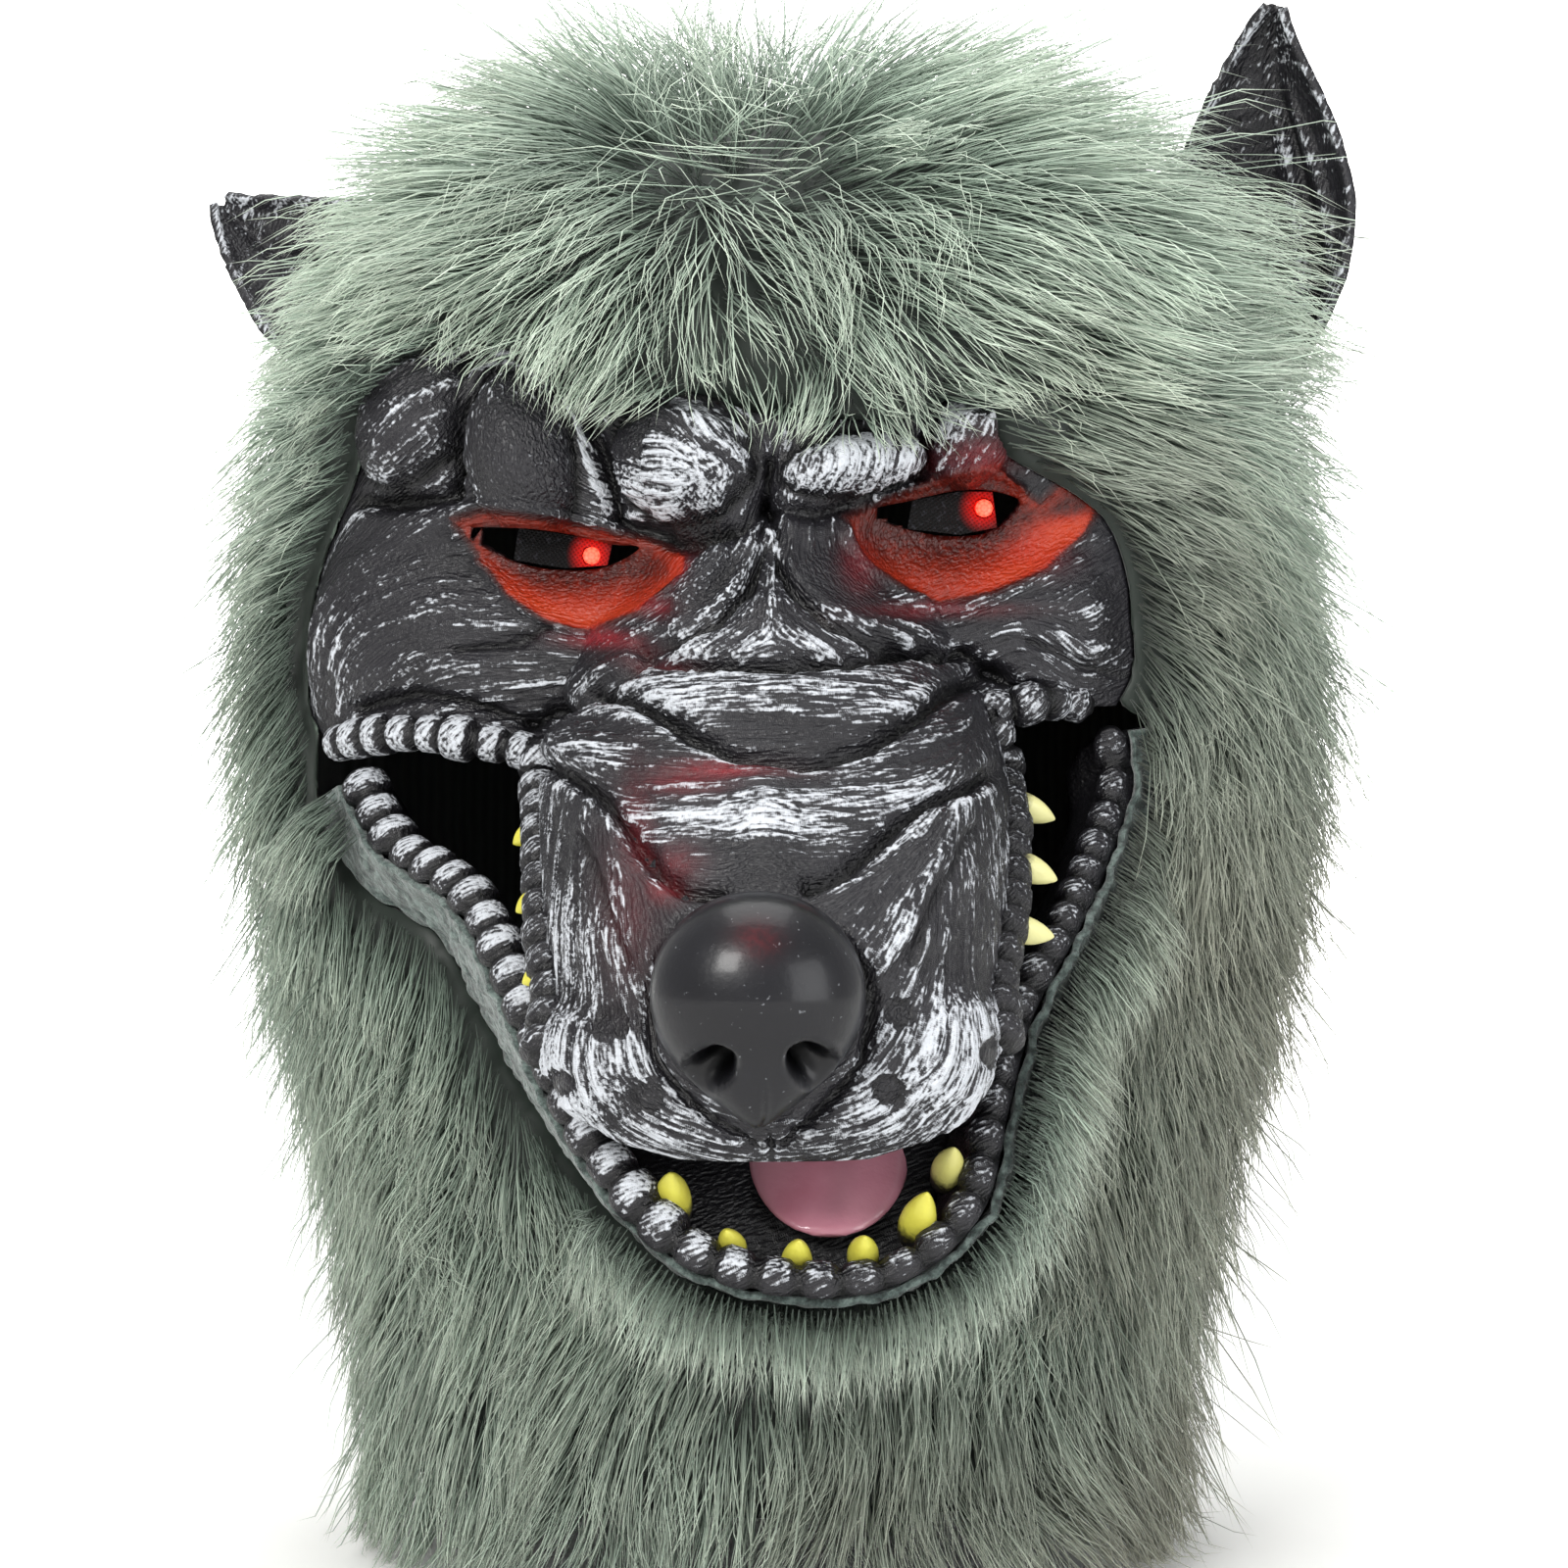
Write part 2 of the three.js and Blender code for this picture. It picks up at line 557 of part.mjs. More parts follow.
function eyeOutline(slit, grow) {
  const middle = { out: 0, drop: 0 };
  const ring = [...slit.upper, ...slit.lower.slice(1, -1).reverse()];
  ring.forEach((p) => {
    middle.out += p.out * faceHalfWidth / ring.length;
    middle.drop += p.drop * faceDrop / ring.length;
  });
  return ring.map((p) => {
    const v = new THREE.Vector2(p.out * faceHalfWidth - middle.out, -(p.drop * faceDrop - middle.drop));
    v.setLength(v.length() + grow);
    return new THREE.Vector2(v.x + middle.out, v.y - middle.drop);
  });
}

// Cuts straight back along Y through an outline drawn in the front view
function frontCutter(outline, from, to) {
  const geometry = new THREE.ExtrudeGeometry(new THREE.Shape(outline), {
    depth: to - from, bevelEnabled: false,
  });
  geometry.rotateX(Math.PI / 2);
  geometry.translate(0, to, 0);
  return solidFromGeometry(geometry);
}

// Front surface of the moulded face at a point of the front view
function faceFrontAt(x, z) {
  return faceBase(x, z).y - relief(x, z);
}

// A dark woven screen that follows the face just inside its slit
function eyeScreen(slit) {
  const upper = eyeOutline(slit, -pieceGap);
  const count = slit.upper.length;
  const rings = [];
  for (let i = 1; i < count - 1; i += 1) {
    const top = upper[i];
    const bottom = upper[upper.length - i];
    const depth = faceFrontAt((top.x + bottom.x) / 2, (top.y + bottom.y) / 2) + faceWall * 0.6;
    rings.push([
      new THREE.Vector3(top.x, depth, top.y), new THREE.Vector3(bottom.x, depth, bottom.y),
      new THREE.Vector3(bottom.x, depth + screenWall, bottom.y),
      new THREE.Vector3(top.x, depth + screenWall, top.y),
    ]);
  }
  return loft(rings);
}

function lathe(profile, sides) {
  return new THREE.LatheGeometry(profile.map(([r, y]) => new THREE.Vector2(r, y)), sides);
}

// A lamp with a round nose, pointing out of the face along -Y
function lamp(slit, grow) {
  const r = ledRadius + grow;
  const back = -ledLength - grow;
  const profile = [[0, back], [r, back], [r, 0], [r * 0.8, r * 0.6], [r * 0.4, r * 0.92], [0, r]];
  const geometry = lathe(profile, 8).rotateX(Math.PI);
  const x = slit.ledOut * faceHalfWidth;
  const z = -slit.ledDrop * faceDrop;
  const y = faceFrontAt(x, z);
  geometry.translate(x, y + ledRadius * 0.5, z);
  return solidFromGeometry(geometry);
}

// Nose pad: wide on top, narrowing to the groove above the lip, with two nostrils
function nosePad(grow) {
  const geometry = new THREE.SphereGeometry(1, 14, 9);
  const at = geometry.getAttribute('position');
  const centre = faceBase(noseOut, -noseDrop);
  for (let i = 0; i < at.count; i += 1) {
    const p = new THREE.Vector3().fromBufferAttribute(at, i);
    const low = clamp01(-p.y);
    const narrow = 1 - 0.62 * low ** 1.6;
    const notch = 1 - 0.10 * Math.exp(-((p.x * 4) ** 2)) * clamp01(-p.y * 2);
    at.setXYZ(i, centre.x + p.x * narrow * (noseHalfWidth + grow),
      centre.y - noseHalfDepth * 0.35 - p.z * notch * (noseHalfDepth + grow) * (1 - 0.25 * low),
      centre.z + (p.y < 0 ? 1.3 : 1) * p.y * (noseHalfHeight + grow));
  }
  return solidFromGeometry(geometry);
}

function nostril(side) {
  const geometry = new THREE.SphereGeometry(1, 8, 6);
  const centre = faceBase(noseOut, -noseDrop);
  geometry.scale(nostrilRadius, nostrilRadius * 1.4, nostrilRadius * 0.9);
  geometry.translate(centre.x + side * noseHalfWidth * 0.52, centre.y - noseHalfDepth * 1.1,
    centre.z - noseHalfHeight * 0.55);
  return solidFromGeometry(geometry);
}

// Lower jaw
const jawTilt = THREE.MathUtils.degToRad(jawPitch);
const jawUp = new THREE.Vector3(0, -Math.sin(jawTilt), Math.cos(jawTilt));
const jawStations = 29;

function lowerLipCurve() {
  return new THREE.CatmullRomCurve3(lowerLip.map(({ out, drop, reach }) => {
    const y = -hoodFront - clothWall - reach * jawReach;
    return new THREE.Vector3(out * jawHalfWidth, y, -drop * jawDrop);
  }), false, 'centripetal');
}

// The frame of the lip at a station: the point, and the way out of the mouth, in the front view
function lipFrame(curve, t) {
  const at = curve.getPointAt(t);
  const along = curve.getTangentAt(t);
  const out = along.clone().cross(jawUp).normalize();
  if (out.dot(new THREE.Vector3(at.x, 0, at.z + mouthMiddle * jawDrop)) < 0) out.negate();
  const flat = new THREE.Vector2(-along.z, along.x).normalize();
  if (flat.x * at.x + flat.y * (at.z + mouthMiddle * jawDrop) < 0) flat.negate();
  return { at, out, flat };
}

// The jaw's skirt runs back from the lip to the hood, flaring as it goes
function skirtPoint(frame, share) {
  const start = frame.at.clone().addScaledVector(frame.out, lipRadius);
  const end = new THREE.Vector3(frame.at.x + frame.flat.x * (lipRadius + jawFlare), 0,
    frame.at.z + frame.flat.y * (lipRadius + jawFlare));
  end.y = hoodFrontAt(end.x, end.z);
  if (end.y < start.y + 4) end.y = start.y + 4;
  return start.lerp(end, share);
}

const jawCurve = lowerLipCurve();
const jawFrames = [];
for (let i = 0; i < jawStations; i += 1) jawFrames.push(lipFrame(jawCurve, i / (jawStations - 1)));

function jawGrid() {
  return jawFrames.map((frame, i) => {
    const bead = i % 2 ? 0 : -beadDepth;
    const r = lipRadius + bead;
    const { at, out } = frame;
    const inner = (o, n) => at.clone().addScaledVector(out, o).addScaledVector(jawUp, n);
    return [
      inner(-r * 2.4, -gumDepth), inner(-r * 1.7, -gumDepth * 0.4), inner(-r * 0.8, r * 0.6),
      inner(0, r), inner(r * 0.8, r * 0.6), ...skirtShares.map((share) => skirtPoint(frame, share)),
    ];
  });
}

// Short plush sewn round the outside of the jaw's skirt
const skirtShares = [0.02, 0.45, 1];
const skirtGrid = jawFrames.map((frame) => skirtShares.map((share) => skirtPoint(frame, share)));
const skirtNormals = gridNormals(skirtGrid, 1);
const plushGrid = skirtGrid.map((row, i) => row.map((p, j) => (
  p.clone().addScaledVector(skirtNormals[i][j], pieceGap * 2.5 + plushWall))));

// Outline of the hole in the hood, in the front view: round the face, then round the plush
function hoodOpening(grow) {
  const flat = (p) => new THREE.Vector2(p.x, p.z);
  const left = faceGrid.slice(0, leftCorner).map((row) => flat(row[0]));
  const right = faceGrid.slice(0, rightCorner).map((row) => flat(row.at(-1)));
  const top = faceGrid[0].slice(1, -1).map(flat);
  const under = plushGrid.map((row) => flat(row.at(-1)));
  return growOutline([...left, ...under, ...right.reverse(), ...top.reverse()], grow);
}

// Moves each corner of a closed outline outward
function growOutline(outline, grow) {
  const n = outline.length;
  const turn = THREE.ShapeUtils.area(outline) > 0 ? 1 : -1;
  return outline.map((p, i) => {
    const along = outline[(i + 1) % n].clone().sub(outline[(i + n - 1) % n]).normalize();
    return new THREE.Vector2(p.x + along.y * grow * turn, p.y - along.x * grow * turn);
  });
}

// Floor of the mouth between the two gums, from rise above it to fall below it
function mouthFloor(rise, fall) {
  const from = Math.round(jawStations * 0.26);
  const to = Math.round(jawStations * 0.76);
  const rim = [];
  for (let i = from; i <= to; i += 2) {
    const { at, out } = jawFrames[i];
    rim.push(at.clone().addScaledVector(out, -lipRadius * 2.2).addScaledVector(jawUp, -gumDepth * 0.8));
  }
  const shifted = (by) => rim.map((p) => p.clone().addScaledVector(jawUp, by));
  return loft([shifted(rise), shifted(-fall)]);
}

function tongueSolid() {
  const chin = jawCurve.getPointAt(0.53);
  const back = new THREE.Vector3(0, Math.cos(jawTilt), Math.sin(jawTilt));
  const rings = [];
  const steps = 7;
  const sides = 10;
  const seat = -gumDepth * 0.8 + tongueThickness * 0.75;
  for (let k = 0; k <= steps; k += 1) {
    const t = k / steps;
    const half = tongueWidth / 2 * Math.sqrt(1 - (1 - Math.min(1, t * 2.4 + 0.12)) ** 2);
    const thick = tongueThickness / 2 * Math.sqrt(1 - (1 - Math.min(1, t * 2 + 0.12)) ** 2);
    const lift = 3 * Math.exp(-t * 5);
    const middle = chin.clone().addScaledVector(back, lipRadius * 3.4 + t * tongueLength)
      .addScaledVector(jawUp, seat + lift);
    const ring = [];
    for (let i = 0; i < sides; i += 1) {
      const angle = i / sides * 2 * Math.PI;
      ring.push(middle.clone().add(new THREE.Vector3(half * Math.cos(angle), 0, 0))
        .addScaledVector(jawUp, thick * Math.sin(angle)));
    }
    rings.push(ring);
  }
  return loft(rings);
}

// A pointed tooth with a round root, standing along a direction
function toothSolid(root, way, size, grow) {
  const height = toothHeight * size;
  const r = toothRadius * Math.sqrt(size) + grow;
  const sunk = 2 + grow;
  const geometry = lathe([[0, -sunk], [r * 0.9, -sunk], [r * 0.85, height * 0.5],
    [r * 0.3, height * 0.92], [0, height + grow]], 6);
  const turn = new THREE.Quaternion().setFromUnitVectors(new THREE.Vector3(0, 1, 0), way);
  geometry.applyQuaternion(turn);
  geometry.translate(root.x, root.y, root.z);
  return solidFromGeometry(geometry);
}

function lowerTooth(tooth, grow) {
  const { at, out } = lipFrame(jawCurve, tooth.along);
  const root = at.clone().addScaledVector(out, -lipRadius * 1.75).addScaledVector(jawUp, -gumDepth * 0.32);
  const way = jawUp.clone().addScaledVector(out, 0.1).normalize();
  return toothSolid(root, way, tooth.size, grow);
}

// Upper teeth hang from the inside of the lip roll, a little inside the muzzle's edge
function upperTooth(tooth, grow) {
  const share = tooth.drop;
  const wide = column(muzzleSections, 'drop', 'wide', share) * muzzleHalfWidth * muzzleSideAt(share);
  const root = faceBase(muzzleCentre(share) + tooth.side * wide, -share * faceDrop);
  root.y = hoodFrontAt(root.x, root.z) - column(muzzleSections, 'drop', 'lip', share) * muzzleReach;
  const way = new THREE.Vector3(tooth.side * 0.12, 0.42, -0.9).normalize();
  root.addScaledVector(way, lipRadius * 0.7);
  return toothSolid(root, way, tooth.size, grow);
}

// Ears: cupped leaves that stand on the hood
function earMatrix(ear) {
  const section = hoodSection(ear.drop * hoodDrop, clothWall);
  const x = ear.out * hoodHalfWidth;
  const rad = THREE.MathUtils.degToRad;
  return new THREE.Matrix4()
    .makeTranslation(x, -earBack, section.z)
    .multiply(new THREE.Matrix4().makeRotationY(rad(ear.tilt)))
    .multiply(new THREE.Matrix4().makeRotationX(rad(ear.lean)))
    .multiply(new THREE.Matrix4().makeRotationZ(rad(ear.turn)));
}

function earGrid(ear) {
  const across = 9;
  const matrix = earMatrix(ear);
  return earSections.map(({ along, wide, cup, sway }) => {
    const row = [];
    for (let j = 0; j < across; j += 1) {
      const u = -1 + 2 * j / (across - 1);
      const fold = 0.10 * Math.cos(u * 7) * (1 - u * u);
      row.push(new THREE.Vector3(
        (u * wide + sway) * earHalfWidth,
        (1 - u * u + fold) * cup * earCup,
        along * earHeight,
      ).applyMatrix4(matrix));
    }
    return row;
  });
}

// A plump body round an ear, which keeps the fur clear of it
function earRoom(ear) {
  const matrix = earMatrix(ear);
  const sides = 10;
  return loft(earSections.map(({ along, wide, cup, sway }) => {
    const ring = [];
    for (let i = 0; i < sides; i += 1) {
      const angle = i / sides * 2 * Math.PI;
      ring.push(new THREE.Vector3(
        sway * earHalfWidth + (wide * earHalfWidth * 1.12 + 4) * Math.cos(angle),
        cup * earCup * 0.5 + (cup * earCup * 0.62 + 7) * Math.sin(angle),
        (along * 1.08 - 0.04) * earHeight,
      ).applyMatrix4(matrix));
    }
    return ring;
  }));
}

// A point of the fur at a drop, an angle round the hood and a height over the cloth's inside
function furPoint(drop, angle, height) {
  const section = hoodSection(Math.min(1, Math.max(0, drop)) * hoodDrop, height);
  const p = hoodPoint(section, angle);
  p.z -= Math.max(0, drop - 1) * hoodDrop;
  return p;
}

// The fur's outer form: tiers of locks, each lying over the root of the next
function furBody() {
  const steps = locksRound * 2;
  const base = clothWall + furPad;
  const rings = [[new THREE.Vector3(0, 0, clothWall + furPile * 1.05)]];
  furTiers.forEach((tier, k) => {
    const ring = (drops, heights) => {
      const points = [];
      for (let i = 0; i < steps; i += 1) {
        const ridge = (i + k) % 2;
        const wave = 1 + 0.10 * Math.sin(i * 2.3 + k * 1.9);
        points.push(furPoint(drops[ridge], i / steps * 2 * Math.PI, lerp(base, clothWall + furPile * tier.pile,
          heights[ridge] * wave)));
      }
      return points;
    };
    if (k > 0) rings.push(ring([tier.root, tier.root], [0.30, 0.30]));
    const belly = lerp(tier.root, tier.tip, 0.5);
    rings.push(ring([belly, belly], [0.62, 0.90]));
    rings.push(ring([tier.valley, tier.tip], [0.55, 0.92]));
  });
  const hem = furTiers.at(-1).valley;
  rings.push(rings.at(-1).map((p, i) => furPoint(hem, i / steps * 2 * Math.PI, base * 0.7)));
  return loft(rings);
}

// Adds a solid to the mask under its name
const mask = new THREE.Group();
mask.name = 'wolf_mask';
function piece(name, solid, finish) {
  const mesh = solid.getMesh();
  const geometry = new THREE.BufferGeometry();
  geometry.setAttribute('position', new THREE.BufferAttribute(new Float32Array(mesh.vertProperties), 3));
  geometry.setIndex(new THREE.BufferAttribute(new Uint32Array(mesh.triVerts), 1));
  geometry.computeVertexNormals();
  const made = new THREE.Mesh(geometry, new THREE.MeshStandardMaterial(finish));
  made.name = name;
  mask.add(made);
}

const mouldedBlack = { color: 0x3a393d, roughness: 0.5, metalness: 0 };
const glossBlack = { color: 0x1d1c1f, roughness: 0.25, metalness: 0 };
const furGrey = { color: 0x7c867a, roughness: 0.95, metalness: 0 };
const plushGrey = { color: 0x5f6f69, roughness: 0.95, metalness: 0 };
const clothGrey = { color: 0x3c4340, roughness: 0.9, metalness: 0 };
const toothYellow = { color: 0xc9c33a, roughness: 0.4, metalness: 0 };
const tonguePink = { color: 0xa85a6a, roughness: 0.3, metalness: 0 };
const screenBlack = { color: 0x151417, roughness: 0.8, metalness: 0 };
const lampRed = { color: 0xff1a1a, roughness: 0.2, metalness: 0 };

// The face, with its lips joined and its slits, nose seat and tooth sockets cut
let face = sheet(faceGrid, faceWall, facingOut, onFace);
for (const side of [-1, 1]) face = face.add(beadRoll(upperLipTrail(side), lipRadius, 6));
for (const slit of eyeSlits) {
  face = face.subtract(frontCutter(eyeOutline(slit, 0), -hoodFront * 1.6, -hoodFront * 0.2));
}
face = face.subtract(nosePad(pieceGap));
for (const tooth of upperTeeth) face = face.subtract(upperTooth(tooth, pieceGap));
piece('face_shell', outerBody(face), mouldedBlack);

let nose = nosePad(0);
for (const side of [-1, 1]) nose = nose.subtract(nostril(side));
piece('nose_pad', nose, glossBlack);

for (const slit of eyeSlits) {
  piece(`eye_screen_${slit.side}`, outerBody(eyeScreen(slit).subtract(lamp(slit, pieceGap))), screenBlack);
  piece(`eye_lamp_${slit.side}`, lamp(slit, 0), lampRed);
}

let jaw = sheet(jawGrid(), faceWall).add(mouthFloor(0, faceWall));
for (const tooth of lowerTeeth) jaw = jaw.subtract(lowerTooth(tooth, pieceGap));
piece('lower_jaw', outerBody(jaw), mouldedBlack);
piece('chin_plush', sheet(plushGrid, plushWall), plushGrey);
piece('tongue', outerBody(tongueSolid().subtract(mouthFloor(pieceGap, gumDepth * 2))), tonguePink);
for (const tooth of lowerTeeth) piece(tooth.name, lowerTooth(tooth, 0), toothYellow);
for (const tooth of upperTeeth) piece(tooth.name, upperTooth(tooth, 0), toothYellow);

// The hood cloth, open at the hem and round the face
const opening = frontCutter(hoodOpening(pieceGap), -hoodFront * 2.6, -openingDepth);
const furOpening = frontCutter(hoodOpening(furEdge), -hoodFront * 2.6, -openingDepth);
const cloth = hoodBody(clothWall).subtract(hoodBody(0, hoodDrop)).subtract(opening);
piece('hood_cloth', outerBody(cloth), clothGrey);

const clothRoom = hoodBody(clothWall + pieceGap);
for (const ear of ears) {
  piece(ear.name, outerBody(sheet(earGrid(ear), earWall).subtract(clothRoom)), mouldedBlack);
}

// The pelt, cut clear of the cloth, the face and the ears
let pelt = furBody();
pelt = pelt.subtract(hoodBody(clothWall + pieceGap, hoodDrop)).subtract(furOpening);
for (const ear of ears) pelt = pelt.subtract(earRoom(ear));
piece('fur_pelt', outerBody(pelt), furGrey);

export default mask;
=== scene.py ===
import math
import bpy
import bmesh
import numpy as np
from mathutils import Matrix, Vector


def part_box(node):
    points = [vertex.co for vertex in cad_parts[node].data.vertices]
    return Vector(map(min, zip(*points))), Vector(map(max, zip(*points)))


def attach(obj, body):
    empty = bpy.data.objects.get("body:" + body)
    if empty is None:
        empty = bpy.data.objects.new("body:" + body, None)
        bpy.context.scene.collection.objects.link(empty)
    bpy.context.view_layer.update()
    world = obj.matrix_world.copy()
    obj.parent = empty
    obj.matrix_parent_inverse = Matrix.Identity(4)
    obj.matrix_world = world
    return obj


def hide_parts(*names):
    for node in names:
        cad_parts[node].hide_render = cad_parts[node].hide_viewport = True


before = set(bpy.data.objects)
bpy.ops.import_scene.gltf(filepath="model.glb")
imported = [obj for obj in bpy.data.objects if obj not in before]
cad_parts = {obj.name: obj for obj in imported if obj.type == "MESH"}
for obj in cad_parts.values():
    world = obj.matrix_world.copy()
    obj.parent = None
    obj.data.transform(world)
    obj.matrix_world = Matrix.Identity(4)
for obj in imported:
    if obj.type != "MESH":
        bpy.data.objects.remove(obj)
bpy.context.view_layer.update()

# Pull-over wolf mask: moulded face, lit eye slits, open mouth and a deep fur hood.
# Lengths are in millimetres here and turned to metres when a mesh is made.

# Small helpers
def hexColor(code):  # sRGB hex to the linear colour that a shader wants
    parts = [int(code[i:i + 2], 16) / 255 for i in (0, 2, 4)]
    return [c / 12.92 if c <= 0.04045 else ((c + 0.055) / 1.055) ** 2.4 for c in parts] + [1.0]


def smoothStep(low, high, at):
    t = np.clip((at - low) / (high - low), 0, 1)
    return t * t * (3 - 2 * t)


def readCurve(xs, ys, at):  # smooth reading of a table without overshoot
    xs, ys, at = np.array(xs, float), np.array(ys, float), np.asarray(at, float)
    run = np.diff(xs)
    rise = np.diff(ys) / run
    slope = np.zeros(len(xs))
    both = rise[:-1] * rise[1:]
    total = np.where(rise[:-1] + rise[1:] == 0, 1, rise[:-1] + rise[1:])
    slope[1:-1] = np.where(both > 0, 2 * both / total, 0)
    slope[0], slope[-1] = rise[0], rise[-1]
    at = np.clip(at, xs[0], xs[-1])
    i = np.clip(np.searchsorted(xs, at, side="right") - 1, 0, len(xs) - 2)
    t = (at - xs[i]) / run[i]
    return ((2 * t ** 3 - 3 * t ** 2 + 1) * ys[i] + (t ** 3 - 2 * t ** 2 + t) * run[i] * slope[i]
            + (3 * t ** 2 - 2 * t ** 3) * ys[i + 1] + (t ** 3 - t ** 2) * run[i] * slope[i + 1])


def unit(v):
    return v / np.maximum(np.linalg.norm(v, axis=-1, keepdims=True), 1e-9)


def gridNormals(grid):
    down = np.gradient(grid, axis=0)
    across = np.gradient(grid, axis=1)
    return unit(np.cross(across, down))


def evenRun(points, count):  # even steps along a run of points
    steps = np.linalg.norm(np.diff(points, axis=0), axis=1)
    length = np.concatenate([[0], np.cumsum(steps)])
    at = np.linspace(0, length[-1], count)
    return np.stack([np.interp(at, length, points[:, k]) for k in range(3)], axis=1)


def curveThrough(points, count):  # centripetal spline through points, in even steps
    p = np.array(points, float)
    p = np.vstack([2 * p[0] - p[1], p, 2 * p[-1] - p[-2]])
    out = []
    for i in range(1, len(p) - 2):
        p0, p1, p2, p3 = p[i - 1:i + 3]
        d0, d1, d2 = [max(1e-4, np.linalg.norm(b - a) ** 0.5) for a, b in ((p0, p1), (p1, p2), (p2, p3))]
        m1 = ((p1 - p0) / d0 - (p2 - p0) / (d0 + d1) + (p2 - p1) / d1) * d1
        m2 = ((p2 - p1) / d1 - (p3 - p1) / (d1 + d2) + (p3 - p2) / d2) * d1
        t = np.linspace(0, 1, 60, endpoint=i == len(p) - 3)[:, None]
        out.append((2 * t ** 3 - 3 * t ** 2 + 1) * p1 + (t ** 3 - 2 * t ** 2 + t) * m1
                   + (3 * t ** 2 - 2 * t ** 3) * p2 + (t ** 3 - t ** 2) * m2)
    return evenRun(np.vstack(out), count)


def waves(points, size, seed, count=7):  # soft random field, about -1 to 1, with bumps of a given size
    rng = np.random.default_rng(seed)
    total = np.zeros(points.shape[:-1])
    for _ in range(count):
        way = unit(rng.normal(size=3)) * rng.uniform(0.6, 1.6) * math.pi / size
        total += np.sin(points @ way + rng.uniform(0, 6.3))
    return total / math.sqrt(count / 2) / 1.4


def addMesh(name, points, faceSets, material, replaced=(), marks=None, recalc=False):
    points = np.asarray(points, float).reshape(-1, 3)
    faceSets = [np.asarray(f, int) for f in faceSets if len(f)]
    used = np.unique(np.concatenate([f.ravel() for f in faceSets]))
    back = np.zeros(len(points), int)
    back[used] = np.arange(len(used))
    mesh = bpy.data.meshes.new(name)
    loops = np.concatenate([back[f].ravel() for f in faceSets])
    sizes = np.concatenate([np.full(len(f), f.shape[1]) for f in faceSets])
    mesh.vertices.add(len(used))
    mesh.vertices.foreach_set("co", (points[used] / 1000).ravel())
    mesh.loops.add(len(loops))
    mesh.loops.foreach_set("vertex_index", loops)
    mesh.polygons.add(len(sizes))
    mesh.polygons.foreach_set("loop_start", np.concatenate([[0], np.cumsum(sizes)[:-1]]))
    mesh.update(calc_edges=True)
    for key, values in (marks or {}).items():
        setMark(mesh, key, np.asarray(values)[used])
    if recalc:
        work = bmesh.new()
        work.from_mesh(mesh)
        bmesh.ops.recalc_face_normals(work, faces=work.faces)
        work.to_mesh(mesh)
        work.free()
    mesh.polygons.foreach_set("use_smooth", np.full(len(mesh.polygons), True))
    mesh.materials.append(material)
    piece = bpy.data.objects.new(name, mesh)
    bpy.context.scene.collection.objects.link(piece)
    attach(piece, "root")
    if replaced:
        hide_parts(*replaced)
    return piece


def setMark(mesh, key, values):  # stores a value or a colour at each vertex
    values = np.asarray(values, float)
    if values.ndim == 1:
        layer = mesh.attributes.new(key, "FLOAT", "POINT")
        layer.data.foreach_set("value", values)
    else:
        layer = mesh.attributes.new(key, "FLOAT_COLOR", "POINT")
        layer.data.foreach_set("color", values.ravel())


def gridFaces(rows, cols, start=0, wrapCols=False):
    i, j = np.meshgrid(np.arange(rows - 1), np.arange(cols if wrapCols else cols - 1), indexing="ij")
    k = (j + 1) % cols
    corners = [i * cols + j, (i + 1) * cols + j, (i + 1) * cols + k, i * cols + k]
    return (start + np.stack(corners, -1)).reshape(-1, 4)


def cornersOf(cells):  # grid points that touch one of these two-by-two cells
    fine = np.repeat(np.repeat(cells, 2, 0), 2, 1)
    touched = np.zeros((fine.shape[0] + 1, fine.shape[1] + 1), bool)
    for di in (0, 1):
        for dj in (0, 1):
            touched[di:di + fine.shape[0], dj:dj + fine.shape[1]] |= fine
    return touched


def wallFromGrid(grid, wall, keep=None, normals=None):
    # a closed wall: fine outside, half as fine inside; rows and columns are odd in number
    rows, cols = grid.shape[:2]
    outward = gridNormals(grid) if normals is None else normals
    inner = (grid - outward * wall)[::2, ::2]
    big = np.ones(((rows - 1) // 2, (cols - 1) // 2), bool) if keep is None else keep
    fine = np.repeat(np.repeat(big, 2, 0), 2, 1)
    outerFaces = gridFaces(rows, cols).reshape(rows - 1, cols - 1, 4)[fine]
    start = rows * cols
    innerCols = inner.shape[1]
    innerFaces = gridFaces(inner.shape[0], innerCols, start).reshape(*big.shape, 4)[big][:, ::-1]
    padded = np.pad(big, 1)
    tris = []
    for di, dj, (a0, a1), (b0, b1) in ((-1, 0, (0, 0), (0, 1)), (1, 0, (1, 1), (1, 0)),
                                       (0, -1, (1, 0), (0, 0)), (0, 1, (0, 1), (1, 1))):
        edge = big & ~padded[1 + di:1 + di + big.shape[0], 1 + dj:1 + dj + big.shape[1]]
        i, j = np.nonzero(edge)
        p = 2 * (i + a0) * cols + 2 * (j + a1)
        r = 2 * (i + b0) * cols + 2 * (j + b1)
        q = (2 * i + a0 + b0) * cols + 2 * j + a1 + b1
        u = start + (i + a0) * innerCols + j + a1
        v = start + (i + b0) * innerCols + j + b1
        tris += [np.stack([p, q, u], 1), np.stack([q, v, u], 1), np.stack([q, r, v], 1)]
    return np.vstack([grid.reshape(-1, 3), inner.reshape(-1, 3)]), [outerFaces, innerFaces, np.vstack(tris)]


